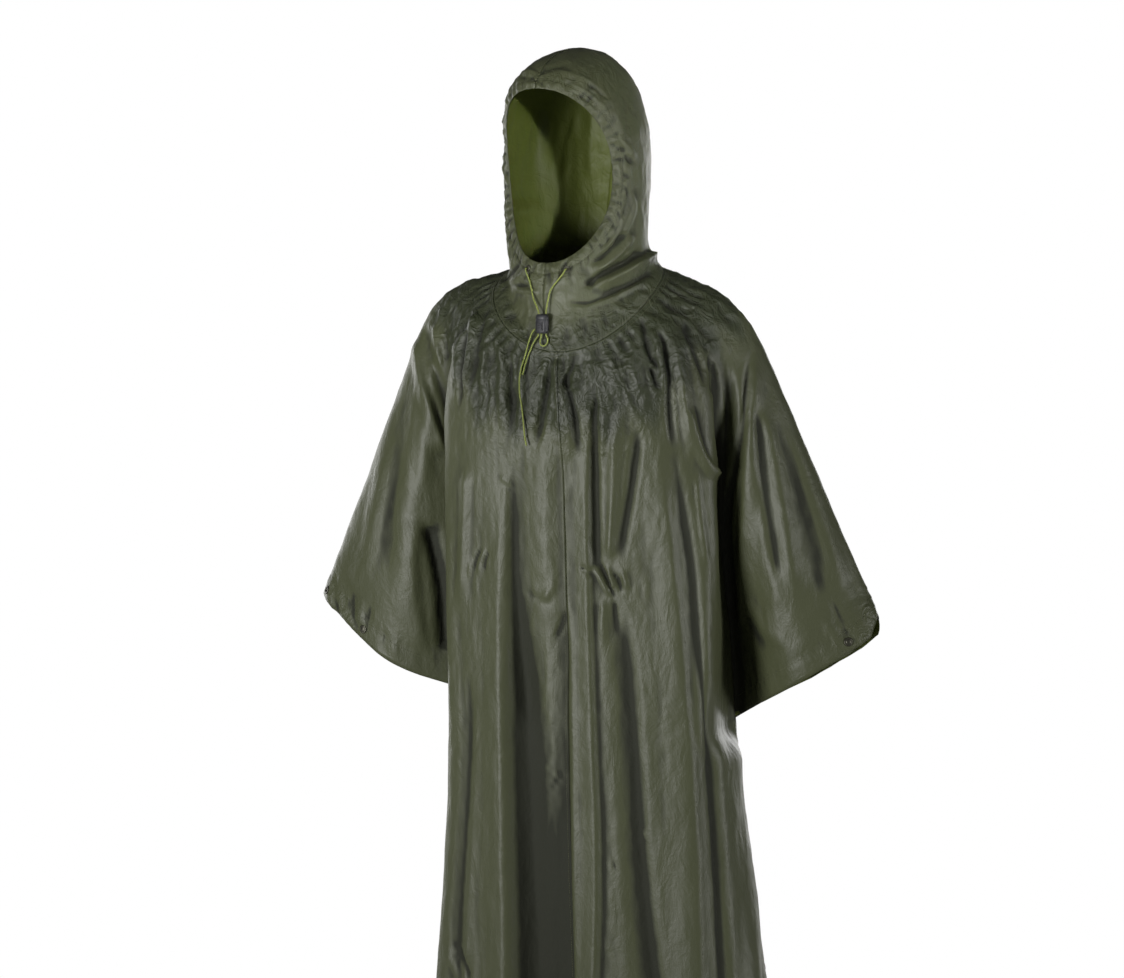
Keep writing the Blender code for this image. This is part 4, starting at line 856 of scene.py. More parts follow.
sleeveFolds = (
    ((-6, -7), (6, 6), (8, 8), 0.6, (0.15, 0.1), (
        (425, 319), (428, 350), (437, 378), (446, 404), (451, 432), (452, 460),
    )),
    ((5, 7), (9, 16), (5, 5), 0.4, (0.15, 0.1), ((417, 336), (421, 372), (432, 412), (445, 452))),
    ((-4, -4), (4, 4), (5, 5), 0.6, (0.2, 0.2), ((443, 318), (445, 340), (447, 364))),
    ((3, 3), (4, 5), (4, 4), 0.5, (0.2, 0.3), ((434, 322), (438, 350), (446, 378))),
    ((-15, -17), (6, 8), (20, 22), 0.6, (0.1, 0.05), (
        (425, 522), (431, 545), (438, 580), (442, 620), (443, 650),
    )),
    ((5, 4), (22, 26), (7, 8), 0.4, (0.15, 0.2), ((418, 516), (414, 560), (417, 610), (426, 660))),
    ((-4, -4), (16, 18), (14, 16), 0.1, (0.25, 0.2), ((410, 352), (398, 430), (388, 510), (381, 590))),
    ((3, 3), (12, 14), (14, 16), 0.1, (0.3, 0.2), ((392, 420), (376, 500), (362, 570), (354, 606))),
    ((3, 3), (10, 14), (10, 12), 0.2, (0.3, 0.3), ((428, 400), (426, 450), (424, 500))),
    # the wearer's left sleeve
    ((-5, -8), (5, 6), (6, 8), 0.5, (0.15, 0.05), (
        (752, 342), (745, 390), (741, 432), (733, 476), (727, 516), (728, 560), (731, 620),
    )),
    ((5, 6), (7, 10), (11, 16), 0.3, (0.15, 0.15), (
        (757, 352), (752, 420), (747, 490), (744, 560), (743, 640),
    )),
    ((-6, -5), (6, 8), (9, 12), 0.5, (0.15, 0.2), (
        (754, 396), (759, 440), (766, 500), (775, 560), (780, 590),
    )),
    ((4, 5), (7, 12), (9, 18), 0.3, (0.2, 0.2), ((764, 400), (775, 460), (786, 530), (795, 600))),
    ((-3, -4), (10, 16), (12, 16), 0.2, (0.25, 0.2), ((776, 410), (796, 480), (813, 550), (822, 610))),
    ((3, 3), (8, 12), (10, 14), 0.2, (0.3, 0.2), ((790, 424), (812, 490), (834, 560), (846, 610))),
    ((-2.4, -2.4), (6, 8), (8, 10), 0.3, (0.3, 0.3), ((742, 600), (752, 628), (768, 656))),
    ((3, 3), (8, 8), (6, 8), 0.4, (0.3, 0.3), ((746, 592), (760, 620), (778, 648))),
    ((-3, -3), (5, 6), (6, 8), 0.4, (0.3, 0.2), ((778, 600), (784, 624), (796, 646))),
    ((2, 2), (5, 6), (5, 6), 0.5, (0.3, 0.2), ((764, 604), (771, 626), (784, 650))),
    ((-3, -3), (4, 4), (5, 5), 0.6, (0.25, 0.25), ((838, 629), (846, 633), (853, 637))),
    ((2.6, 2.4), (4, 4), (4, 4), 0.6, (0.25, 0.25), ((856, 630), (862, 640), (863, 652))),
    ((-2.6, -2.4), (4, 4), (4, 4), 0.6, (0.25, 0.25), ((832, 600), (842, 618), (850, 628))),
    ((2.4, 2.4), (5, 5), (5, 5), 0.4, (0.3, 0.3), ((822, 616), (832, 630), (838, 644))),
    # the wearer's right cuff
    ((3, 3), (4, 5), (4, 5), 0.6, (0.2, 0.2), ((366, 598), (360, 608), (362, 620), (372, 626))),
    ((-3, -3), (4, 4), (4, 4), 0.6, (0.2, 0.2), ((358, 588), (352, 602), (354, 620), (362, 634))),
    ((-3, -3), (3, 4), (4, 4), 0.6, (0.2, 0.2), ((372, 604), (368, 616), (366, 632))),
    ((2.4, 2.4), (4, 4), (4, 4), 0.5, (0.25, 0.25), ((343, 592), (341, 606), (346, 620))),
    ((-2.4, -2.4), (4, 4), (4, 4), 0.5, (0.25, 0.25), ((336, 586), (334, 600), (338, 612))),
    ((-2.6, -2.4), (4, 5), (4, 5), 0.5, (0.25, 0.25), ((388, 630), (384, 642), (386, 656))),
    ((2.2, 2.2), (4, 5), (4, 5), 0.5, (0.25, 0.25), ((398, 634), (394, 648), (398, 662))),
)
hoodLowFolds = (
    ((8, 5), (7, 6), (13, 12), 0.5, (0.1, 0.25), (
        (655, 253), (640, 262), (622, 272), (604, 280), (590, 286),
    )),
    ((-6, -5), (8, 7), (6, 6), 0.5, (0.1, 0.2), (
        (644, 250), (628, 262), (610, 272), (592, 282), (580, 288),
    )),
    ((4, 3), (6, 6), (6, 5), 0.4, (0.15, 0.3), ((634, 234), (622, 250), (606, 264), (590, 273))),
    ((-4, -3), (5, 5), (5, 5), 0.5, (0.15, 0.3), ((626, 230), (614, 246), (600, 258), (588, 266))),
    ((-4, -3), (5, 5), (6, 5), 0.6, (0.2, 0.3), ((656, 268), (636, 280), (614, 290), (594, 297))),
)
hoodFolds = (
    ((3, 3), (4, 4), (5, 5), 0.5, (0.2, 0.3), ((648, 281), (630, 290), (610, 299), (590, 305))),
    ((-3, -3), (4, 4), (4, 4), 0.6, (0.2, 0.3), ((618, 291), (604, 297), (587, 303), (566, 301))),
    ((3, 2.4), (4, 4), (4, 4), 0.5, (0.2, 0.3), ((560, 262), (556, 276), (553, 290))),
    ((-3, -2.4), (3, 3), (3, 3), 0.6, (0.2, 0.3), ((567, 260), (562, 270), (559, 282))),
    ((2.6, 2), (3, 3), (3, 3), 0.6, (0.2, 0.3), ((573, 258), (568, 267), (563, 277))),
    ((-3, -2.4), (3, 4), (4, 4), 0.6, (0.2, 0.25), ((531, 285), (524, 285), (517, 284))),
    ((3, 3), (4, 5), (4, 4), 0.5, (0.2, 0.3), ((540, 292), (526, 291), (512, 288))),
    ((-3, -3), (4, 4), (4, 4), 0.5, (0.2, 0.3), ((520, 262), (510, 274), (499, 284))),
    ((2.6, 2.6), (4, 4), (4, 4), 0.5, (0.2, 0.3), ((530, 266), (521, 276), (508, 284))),
    # beside the opening
    ((-3, -3), (3, 3), (4, 4), 0.6, (0.15, 0.2), ((608, 160), (611, 174), (611, 188), (609, 202))),
    ((3, 3), (4, 4), (4, 4), 0.5, (0.2, 0.25), ((617, 158), (620, 172), (620, 186), (618, 200))),
    ((-2.4, -2.4), (4, 4), (4, 4), 0.5, (0.2, 0.3), ((610, 144), (618, 148), (626, 156), (632, 168))),
    ((2.4, 2.4), (4, 5), (4, 4), 0.5, (0.2, 0.3), ((610, 137), (620, 141), (630, 150), (637, 164))),
    ((-2.4, -2.4), (4, 4), (4, 4), 0.5, (0.25, 0.3), ((625, 182), (628, 198), (624, 214), (616, 226))),
    ((2.6, 2.6), (4, 4), (4, 4), 0.5, (0.25, 0.3), ((632, 190), (634, 208), (628, 226), (618, 240))),
    ((-2.6, -2.6), (4, 4), (4, 4), 0.5, (0.2, 0.3), ((622, 219), (615, 231), (605, 243), (596, 252))),
    ((2, 2), (12, 14), (12, 14), 0.1, (0.3, 0.3), ((634, 110), (640, 150), (641, 200))),
    ((-2, -2), (8, 8), (8, 8), 0.2, (0.3, 0.3), ((620, 84), (626, 112), (628, 140))),
    # over the brow
    ((-2, -2), (3, 3), (3, 3), 0.6, (0.2, 0.3), ((566, 90), (580, 96), (594, 106), (606, 118))),
    ((2, 2), (3, 3), (3, 3), 0.6, (0.2, 0.3), ((570, 84), (585, 91), (600, 102), (611, 115))),
    ((-2, -2), (4, 4), (3, 3), 0.5, (0.25, 0.3), ((580, 79), (596, 88), (610, 102))),
    ((2, 2), (5, 5), (4, 4), 0.4, (0.25, 0.3), ((556, 72), (576, 76), (596, 86))),
    ((-2.4, -2), (4, 5), (5, 5), 0.4, (0.25, 0.3), ((532, 78), (544, 70), (560, 66), (576, 68))),
    ((-2.6, -2.2), (3, 3), (4, 4), 0.6, (0.2, 0.3), ((518, 80), (528, 78), (538, 82), (548, 88))),
    ((2.2, 2.2), (3, 3), (3, 3), 0.6, (0.2, 0.3), ((520, 74), (532, 72), (545, 78))),
    # the wearer's right edge of the hood
    ((-1.6, -1.6), (3, 3), (3, 3), 0.5, (0.2, 0.2), ((506, 130), (505, 150), (506, 170))),
    ((1.6, 1.6), (3, 3), (3, 3), 0.5, (0.2, 0.2), ((505, 186), (507, 204), (511, 222))),
)
insideFolds = (
    ((-5, -5), (12, 16), (12, 12), 0.1, (0.3, 0.4), ((540, 92), (538, 130), (534, 170), (530, 200))),
    ((4, 4), (12, 12), (14, 14), 0.1, (0.3, 0.4), ((553, 96), (552, 140), (550, 190))),
    ((4, 4), (14, 14), (14, 14), 0.1, (0.3, 0.3), ((506, 203), (524, 205), (546, 203))),
    ((-2, -2), (12, 12), (12, 12), 0.1, (0.3, 0.3), ((580, 120), (582, 160), (578, 210))),
)
backCreases = (
    ((9, 13), (30, 44), (26, 40), 0.2, (0.15, 0), ((-34, -60), (-48, -500), (-60, -900), (-70, -1130))),
    ((9, 13), (26, 42), (30, 46), 0.2, (0.15, 0), ((42, -50), (52, -480), (58, -860), (66, -1130))),
    ((8, 11), (26, 38), (24, 40), 0.3, (0.15, 0), ((-112, -80), (-138, -480), (-156, -860), (-168, -1130))),
    ((8, 12), (24, 40), (28, 44), 0.3, (0.15, 0), ((126, -90), (146, -460), (162, -860), (174, -1130))),
    ((-6, -8), (14, 20), (14, 22), 0.4, (0.15, 0), ((-72, -90), (-92, -520), (-108, -880), (-118, -1130))),
    ((-5, -7), (14, 18), (12, 18), 0.4, (0.15, 0), ((6, -120), (4, -560), (0, -900), (-4, -1130))),
    ((-5, -8), (13, 20), (14, 22), 0.4, (0.15, 0), ((88, -110), (100, -520), (110, -880), (118, -1130))),
    ((6, 5), (20, 26), (20, 26), 0.2, (0.2, 0.4), ((8, -180), (2, -460), (-6, -760))),
    ((6, 5), (16, 24), (16, 24), 0.3, (0.2, 0.3), ((-158, -90), (-176, -340), (-192, -600))),
    ((6, 5), (16, 24), (18, 24), 0.3, (0.2, 0.3), ((168, -100), (180, -320), (190, -560))),
    ((-4, -3), (8, 9), (8, 10), 0.5, (0.15, 0.3), ((-60, -30), (-78, -120), (-84, -250))),
    ((-4, -3), (7, 9), (8, 10), 0.5, (0.15, 0.3), ((64, -30), (80, -110), (92, -230))),
    ((4, 3), (8, 10), (8, 10), 0.4, (0.15, 0.4), ((-22, -34), (-26, -120), (-20, -260))),
    ((3, 3), (8, 10), (8, 10), 0.4, (0.15, 0.4), ((22, -34), (24, -130), (30, -240))),
    ((-3, -3), (6, 8), (6, 8), 0.5, (0.2, 0.4), ((108, -44), (128, -130), (136, -250))),
    ((-3, -3), (6, 8), (6, 8), 0.5, (0.2, 0.4), ((-104, -44), (-120, -130), (-130, -260))),
    ((2, 2), (9, 9), (9, 9), 0.4, (0.3, 0.3), ((-20, -560), (8, -590), (30, -640))),
    ((-2, -2), (8, 8), (8, 8), 0.4, (0.3, 0.3), ((70, -420), (92, -450), (104, -500))),
    ((2, 2), (9, 9), (9, 9), 0.4, (0.3, 0.3), ((-120, -700), (-96, -730), (-84, -790))),
)
backSleeveCreases = (
    ((5, 6), (18, 24), (18, 26), 0.3, (0.15, 0.1), (
        (-228, -130), (-262, -300), (-300, -480), (-322, -600),
    )),
    ((-5, -5), (12, 18), (12, 18), 0.3, (0.15, 0.1), (
        (-250, -150), (-306, -320), (-350, -480), (-372, -560),
    )),
    ((-6, -6), (10, 12), (14, 20), 0.4, (0.15, 0.05), (
        (-206, -150), (-214, -320), (-226, -480), (-236, -620),
    )),
    ((5, 6), (18, 26), (18, 24), 0.3, (0.15, 0.1), ((226, -140), (256, -310), (288, -490), (310, -620))),
    ((-5, -5), (12, 18), (12, 18), 0.3, (0.15, 0.1), ((248, -160), (298, -330), (338, -490), (360, -580))),
    ((-6, -6), (14, 20), (10, 12), 0.4, (0.15, 0.05), ((204, -160), (212, -330), (222, -490), (230, -640))),
    ((3, 3), (8, 8), (8, 8), 0.5, (0.3, 0.2), ((-330, -520), (-342, -560), (-346, -600))),
    ((3, 3), (8, 8), (8, 8), 0.5, (0.3, 0.2), ((300, -560), (312, -600), (318, -640))),
)
hoodBackCreases = (
    ((4, 3), (10, 12), (10, 12), 0.3, (0.2, 0.3), ((-90, 60), (-60, 44), (-20, 36))),
    ((-4, -3), (8, 9), (8, 9), 0.5, (0.2, 0.3), ((-96, 36), (-64, 26), (-30, 20))),
    ((4, 3), (10, 12), (10, 12), 0.3, (0.2, 0.3), ((96, 64), (66, 46), (30, 36))),
    ((-4, -3), (8, 9), (8, 9), 0.5, (0.2, 0.3), ((100, 38), (70, 28), (36, 20))),
    ((-3, -3), (9, 10), (9, 10), 0.4, (0.3, 0.3), ((-46, 250), (-60, 200), (-66, 130))),
    ((-3, -3), (9, 10), (9, 10), 0.4, (0.3, 0.3), ((56, 256), (70, 200), (74, 130))),
    ((3, 3), (12, 12), (12, 12), 0.2, (0.3, 0.3), ((-20, 270), (-24, 190), (-18, 120))),
)
frontCreases = fromPixels(longFolds) + fromPixels(smallFolds, creaseLayout["smallFolds"])
sleeveCreases = fromPixels(sleeveFolds, creaseLayout["sleeveFolds"])
hoodCreases = fromPixels(hoodLowFolds, creaseLayout["hoodLowFolds"]) + fromPixels(hoodFolds)
insideCreases = fromPixels(insideFolds)


def layoutFrom(points):  # u, v of points in mm, as seen from the station
    right, ahead, up = viewAxes(viewSizes["turn"], viewSizes["rise"])
    aim = np.array(viewSizes["aim"]) * 1000
    away = points - (aim - ahead * viewSizes["distance"] * 1000)
    scale = viewSizes["distance"] * 1000 / (away @ ahead)
    return np.stack([(away @ right) * scale, (away @ up) * scale + aim[2]], axis=-1)


def creaseProfile(share, crisp):
    share = np.clip(share, 0, 1)
    return (1 - crisp) * np.cos(np.pi / 2 * share) ** 2 + crisp * (1 - share) ** creaseLayout["crest"]


def blend(pair, along):
    return pair[0] + (pair[1] - pair[0]) * along


def creaseLift(flat, creases):
    lift = np.zeros(len(flat))
    for crease in namedRows(creaseNames, creases):
        corners = np.array(crease["line"], float)
        line = chordCurve(corners, 0, len(corners) - 1, 5 * len(corners))
        widest = max(crease["left"] + crease["right"])
        near = np.all((flat > line.min(0) - widest) & (flat < line.max(0) + widest), axis=1)
        spots = flat[near]
        if not len(spots):
            continue
        reach = walked(line)
        best, along, side = np.full(len(spots), 1e9), np.zeros(len(spots)), np.ones(len(spots))
        for start, step, before in zip(line, np.diff(line, axis=0), reach):
            t = np.clip((spots - start) @ step / (step @ step), 0, 1)
            off = spots - start - t[:, None] * step
            away = np.hypot(off[:, 0], off[:, 1])
            closer = away < best
            best = np.where(closer, away, best)
            along = np.where(closer, (before + t * np.hypot(*step)) / reach[-1], along)
            side = np.where(closer, step[0] * off[:, 1] - step[1] * off[:, 0], side)
        width = np.where(side < 0, blend(crease["left"], along), blend(crease["right"], along))
        fadeIn, fadeOut = crease["fade"]
        risen = ease(along / fadeIn) if fadeIn else 1
        grown = risen * (ease((1 - along) / fadeOut) if fadeOut else 1)
        lift[near] += blend(crease["height"], along) * grown * creaseProfile(best / width, crease["crisp"])
    return lift


clothSizes = {
    "thickness": 0.7, "seamOverlap": 0.4, "seamColumns": 6,
    "slackHeight": 0.9, "slackAcross": 26.0, "slackDown": 90.0,
    "fineHeight": 0.5, "fineAcross": 9.0, "fineDown": 22.0,
    "crumpleWidth": 37.0, "crumpleHeight": 2.8, "crumpleDown": 0.8, "crumpleLeast": 0.02,
    "crumpleNoise": (0.9, 2.1, 3, 1.0, 2.0),
    # columns each way over which a point's sinking behind its neighbours' mean is measured, and the mm behind
    # that mean that count as 1; with deepFold's crease depths it makes the painted fold shade
    "hollows": ((9, 14), (3, 2.4)),
    "deepFold": {"body": 14.0, "hood": 12.0}, "ridgeShare": 0.3,
}


def slackLift(points, seed, crumple):
    # a little unevenness everywhere, and sharp crumples where the cloth is handled
    out = np.zeros(len(points))
    across, down = clothSizes["slackAcross"], clothSizes["slackDown"]
    fineAcross, fineDown = clothSizes["fineAcross"], clothSizes["fineDown"]
    for k, (x, y, z) in enumerate(points):
        spot = Vector((x / across + seed, y / across, z / down))
        fine = Vector((x / fineAcross, y / fineAcross + seed, z / fineDown))
        out[k] = clothSizes["slackHeight"] * noise.noise(spot) + clothSizes["fineHeight"] * noise.noise(fine)
        if crumple[k] > clothSizes["crumpleLeast"]:
            spot = Vector((x, y + 50 * seed, z * clothSizes["crumpleDown"])) / clothSizes["crumpleWidth"]
            sharp = noise.ridged_multi_fractal(spot, *clothSizes["crumpleNoise"])
            out[k] += crumple[k] * clothSizes["crumpleHeight"] * (sharp - 1.0)
    return out


# the cloth is a little larger than its form, so it buckles into small creases of its own when it settles
settling = {"steps": 90, "hold": 0.012, "smoothDown": 0.30, "smoothAcross": 0.10}


def pulled(cloth, lengths, axis):  # neighbours along an axis are drawn to their distance in the cut
    rows = np.moveaxis(cloth, axis, 0)
    lengths = np.moveaxis(lengths, axis, 0)
    for start in (0, 1):
        a, b, rest = rows[start:-1:2], rows[start + 1::2], lengths[start::2]
        step = b - a
        long = np.linalg.norm(step, axis=2)
        move = np.nan_to_num(step * ((long - rest) / np.maximum(long, 0.01) / 2)[..., None])
        a += move
        b -= move


def settled(cloth, spareAcross, spareDown, most):
    form = cloth.copy()
    gone = np.isnan(cloth[..., 0])
    spare = 1 + (spareAcross[:, 1:] + spareAcross[:, :-1]) / 2
    across = np.linalg.norm(np.diff(form, axis=1), axis=2) * spare
    down = np.linalg.norm(np.diff(form, axis=0), axis=2) * (1 + (spareDown[1:] + spareDown[:-1]) / 2)
    for step in range(settling["steps"]):
        pulled(cloth, across, 1)
        pulled(cloth, down, 0)
        moved = cloth - form
        moved[gone] = 0
        for axis, share in ((0, settling["smoothDown"]), (1, settling["smoothAcross"])):
            rows = np.moveaxis(moved, axis, 0)
            rows[1:-1] += share * ((rows[:-2] + rows[2:]) / 2 - rows[1:-1])
        moved *= 1 - settling["hold"]
        far = np.linalg.norm(moved, axis=2)
        moved *= (most * np.tanh(far / np.maximum(most, 1e-3)) / np.maximum(far, 1e-6))[..., None]
        cloth = form + moved
    return cloth


def hollows(places, outward, reach):
    # mm that a point lies behind the mean of its neighbours across the cloth
    there = ~np.isnan(places[..., :1])
    edges = ((0, 0), (reach + 1, reach), (0, 0))
    total = np.cumsum(np.pad(np.nan_to_num(places), edges, mode="edge"), axis=1)
    count = np.cumsum(np.pad(there.astype(float), edges, mode="edge"), axis=1)
    window = 2 * reach + 1
    mean = (total[:, window:] - total[:, :-window]) / np.maximum(count[:, window:] - count[:, :-window], 1)
    return np.nan_to_num(((mean - places) * outward).sum(axis=-1))


def clothPiece(name, grid, side, liftOf, sheetUv, spare):
    # a grid of points with some missing, as a thin shell whose outer face is lifted by its creases
    there = ~np.isnan(grid[..., 0])
    number = np.full(there.shape, -1)
    number[there] = np.arange(there.sum())
    corners = [number[:-1, :-1], number[1:, :-1], number[1:, 1:], number[:-1, 1:]]
    quads = np.stack(corners, axis=-1).reshape(-1, 4)
    quads = quads[(quads >= 0).all(axis=1)][:, ::side]
    used = np.zeros(there.sum(), bool)
    used[quads.ravel()] = True
    kept = np.cumsum(used) - 1
    quads = kept[quads]
    flatPlace = np.flatnonzero(there.ravel())[used]
    points = grid.reshape(-1, 3)[flatPlace]
    mesh = bpy.data.meshes.new(name)
    mesh.from_pydata([tuple(p) for p in points * mm], [], [tuple(int(i) for i in q) for q in quads])
    normals = np.empty(len(points) * 3)
    mesh.vertex_normals.foreach_get("vector", normals)
    normals = normals.reshape(-1, 3)
    rowOf, columnOf = np.divmod(flatPlace, grid.shape[1])
    overlap, near = clothSizes["seamOverlap"], clothSizes["seamColumns"]
    points[:, 0] -= side * overlap * ((columnOf == 0) | (columnOf == grid.shape[1] - 1))
    if name.startswith("body"):  # both halves move alike along the centre seams
        normals[:, 0] *= 1 - ease(1 - columnOf / near) - ease((columnOf - grid.shape[1] + near + 1) / near)
        normals /= np.linalg.norm(normals, axis=1)[:, None]
    else:  # the hood's lower edge reaches a little into the neck seam
        points[:, 2] -= 3 * overlap * (rowOf == len(grid) - 1)
    whole = [np.broadcast_to(part, grid.shape[:2]).astype(float) for part in spare]
    crumple, doubledShade, across, down, most = whole
    lift = liftOf(points, normals, rowOf, columnOf, crumple.ravel()[flatPlace])
    cloth = np.full(grid.shape, np.nan)
    cloth.reshape(-1, 3)[flatPlace] = points + normals * lift[:, None]
    moved = settled(cloth, across, down, most).reshape(-1, 3)[flatPlace]
    mesh.vertices.foreach_set("co", (moved * mm).ravel())
    mesh.update()
    places = np.full(grid.shape, np.nan)
    places.reshape(-1, 3)[flatPlace] = moved
    spread = np.empty(len(points) * 3)
    mesh.vertex_normals.foreach_get("vector", spread)
    outward = np.full(grid.shape, np.nan)
    outward.reshape(-1, 3)[flatPlace] = spread.reshape(-1, 3)
    layer = mesh.uv_layers.new(name="cloth")
    corner = np.empty(len(mesh.loops), np.int32)
    mesh.loops.foreach_get("vertex_index", corner)
    layer.data.foreach_set("uv", sheetUv.reshape(-1, 2)[flatPlace][corner].ravel())
    # painted shade for the material: how far each point is sunk behind its neighbours, and how deep its
    # crease runs
    foldShade = sum(hollows(places, outward, reach) / depth for reach, depth in clothSizes["hollows"])
    lifted = np.clip(lift / clothSizes["deepFold"][name[:4]], -1, clothSizes["ridgeShare"])
    foldShade.ravel()[flatPlace] -= lifted
    foldShade = np.clip(foldShade, -1, 1)
    for word, values in (("crumple", crumple), ("doubledShade", doubledShade), ("foldShade", foldShade)):
        mesh.attributes.new(word, "FLOAT", "POINT").data.foreach_set("value", values.ravel()[flatPlace])
    mesh.shade_smooth()
    piece = newPiece(name, mesh, clothOutside, clothInside)
    wall = piece.modifiers.new("wall", "SOLIDIFY")
    wall.thickness = clothSizes["thickness"] * mm
    wall.offset = 0
    wall.use_even_offset = True
    wall.use_quality_normals = True
    wall.material_offset = 1
    piece = baked(piece, name)
    print(f"{name}: {sum(len(p.vertices) - 2 for p in piece.data.polygons)} triangles")
    return piece, places, outward


def arcOf(grid, axis, missing=0.0):  # distance along the cloth from its first row, or from its first column
    steps = np.nan_to_num(np.linalg.norm(np.diff(grid, axis=axis), axis=2), nan=missing)
    return np.concatenate([0 * steps.take([0], axis), np.cumsum(steps, axis=axis)], axis=axis)


def sheetUvOf(grid):  # metres across and down the cloth, with its mean steps where cloth is missing
    return np.stack([arcOf(grid, 1, 3.0), -arcOf(grid, 0, 6.0)], axis=-1) * mm


def facing(normals, ahead):  # 1 where the cloth faces the station, 0 where it faces away
    return ease(0.5 - (normals @ ahead) / 0.35)


seams = {
    "hemWidth": 30, "hemStep": 0.7, "welt": 0.5, "weltWidth": 9, "puckerPitch": 17, "puckerHeight": 0.9,
    "channelWidth": 15, "channelBulge": 1.4, "gatherPitch": 13, "gatherHeight": 0.8, "gatherReach": 30,
    "neckPitch": 19, "neckHeight": 1.1, "neckReach": 46, "centreWelt": 0.8, "centreWidth": 7.0,
    "crownWelt": 0.4, "crownWidth": 6.0, "stitchDip": 0.8, "channelDip": 0.7,
}


def ripple(place, pitch, seed):  # uneven ripples along a seam
    return np.sin(2 * np.pi * place / pitch + 1.7 * np.sin(place / pitch * 1.13 + seed) + seed)


def bodyLift(side, grid):
    ahead = viewAxes(viewSizes["turn"], viewSizes["rise"])[1]
    first, sleeve = columnCounts()[:2]
    edge, fold, edge2 = first, first + sleeve, first + 2 * sleeve
    downArc, acrossArc = arcOf(grid, 0), arcOf(grid, 1)
    cuffIndex = int(np.sum(bodyForm["stepRows"][:bodyForm["cuffRow"]]))

    def liftOf(points, normals, rowOf, columnOf, crumple):
        seen = layoutFrom(points)
        plain = points[:, [0, 2]]
        onFront = ease((edge + 1 - columnOf) / 4) * (columnOf <= edge) * facing(normals, ahead)
        onSleeve = ease((columnOf - edge) / 2.5) * ease((fold + 2 - columnOf) / 3) * (columnOf > edge)
        onSleeve = onSleeve * (columnOf <= fold + 2) * facing(normals, ahead)
        onBackSleeve = ease((edge2 - columnOf) / 3) * ease((columnOf - fold) / 3)
        onBackSleeve = onBackSleeve * (columnOf >= fold) * (columnOf <= edge2)
        onBack = ease((columnOf - edge2) / 4) * (columnOf >= edge2)
        lift = onFront * creaseLift(seen, frontCreases)
        lift += onSleeve * creaseLift(seen, sleeveCreases)
        lift += onBackSleeve * creaseLift(plain, backSleeveCreases)
        lift += onBack * creaseLift(plain, backCreases)
        neckFade = ease(downArc[rowOf, columnOf] / 30)
        lift *= neckFade
        lift += neckFade * slackLift(points, 3.1, crumple)
        # neck seam: a felled welt, and gathers that run out of it
        fromNeck = downArc[rowOf, columnOf]
        around = acrossArc[0][columnOf]
        lift += seams["welt"] * ease(1 - fromNeck / seams["weltWidth"]) * (fromNeck < seams["weltWidth"])
        clear = ease(np.minimum(columnOf, grid.shape[1] - 1 - columnOf) / 5)  # none at the centre seams
        gathers = ease((fromNeck - 2) / 12) * ease(1 - (fromNeck - 12) / seams["neckReach"])
        lift += seams["neckHeight"] * clear * ripple(around, seams["neckPitch"], 1.0) * gathers
        # centre front seam: a felled welt on the right half, lying over the left one
        fromCentre = acrossArc[rowOf, columnOf] / seams["centreWidth"]
        lift += seams["centreWelt"] * ease(1 - fromCentre) * (columnOf < 40) * (side < 0)
        # cuffs and hem: a turned band with its row of puckers
        onCuff = (columnOf > edge) & (columnOf < edge2) & (rowOf <= cuffIndex)
        toCuff = np.where(onCuff, downArc[min(cuffIndex, len(grid) - 1)][columnOf] - fromNeck, 1e3)
        toHem = np.where(onCuff, 1e3, downArc[-1][columnOf] - fromNeck)
        aroundCuff = acrossArc[np.minimum(rowOf, cuffIndex), columnOf]
        for toEdge, tall in ((toCuff, 1.0), (toHem, 0.5)):
            band = ease((seams["hemWidth"] + 1.5 - toEdge) / 3)
            lift += seams["hemStep"] * band
            near = np.exp(-((toEdge - seams["hemWidth"]) / 11) ** 2)
            lift -= seams["stitchDip"] * np.exp(-((toEdge - seams["hemWidth"]) / 2.2) ** 2)
            lift += tall * seams["puckerHeight"] * ripple(aroundCuff, seams["puckerPitch"], 2.0) * near
        return lift
    return liftOf


yokeSizes = {
    "depth": (95, 70, 118, 84, 128, 78, 110), "soft": 46,  # how far the yoke's painted shade reaches below the neck
    "crumpled": (70, 190), "crumpleMost": 0.88, "crumpleLeast": 0.12, "cuffUp": 34, "cuffAcross": 15.0,
    # the spare share everywhere, and what the yoke and the cuff's edge add to it
    "spareAcross": (0.022, 0.05, 0.05), "spareDown": (0.004, 0.045, 0.04),
    "move": (2.2, 2.4),  # mm that a point may move everywhere, and what the yoke adds
}


def bodySpare(grid):
    # crumples, the painted shade of the two-layer yoke, the spare share across and down, and how far a point
    # may move
    form = yokeSizes
    count, wide = grid.shape[:2]
    downArc = arcOf(grid, 0)
    columns = np.arange(wide)
    yoke = 1 - easeOver(downArc, *form["crumpled"])
    # painted shade over the yoke, down to an uneven depth below the neck
    depths = np.interp(columns / wide * 3 % 1, np.linspace(0, 1, len(form["depth"])), form["depth"])
    doubledShade = 1 - ease((downArc - depths) / form["soft"])
    first, sleeve = columnCounts()[:2]
    cuffIndex = int(np.sum(bodyForm["stepRows"][:bodyForm["cuffRow"]]))
    fromFold = np.abs(columns - first - sleeve)
    toCuff = np.abs(downArc[cuffIndex] - downArc) + 1e3 * (fromFold > sleeve)
    nearCuff = np.exp(-(toCuff / form["cuffUp"]) ** 2) * np.exp(-(fromFold / form["cuffAcross"]) ** 2)
    crumple = np.clip(form["crumpleLeast"] + form["crumpleMost"] * yoke + nearCuff, 0, 1)
    across, down = [base + more * yoke + cuff * nearCuff
                    for base, more, cuff in (form["spareAcross"], form["spareDown"])]
    most = 0.3 + (form["move"][0] + form["move"][1] * yoke) * ease(downArc / 16)
    most = most * ease((columns + 1) / 7) * ease((wide - columns) / 7)  # held along the centre seams
    return crumple, doubledShade, across, down, most


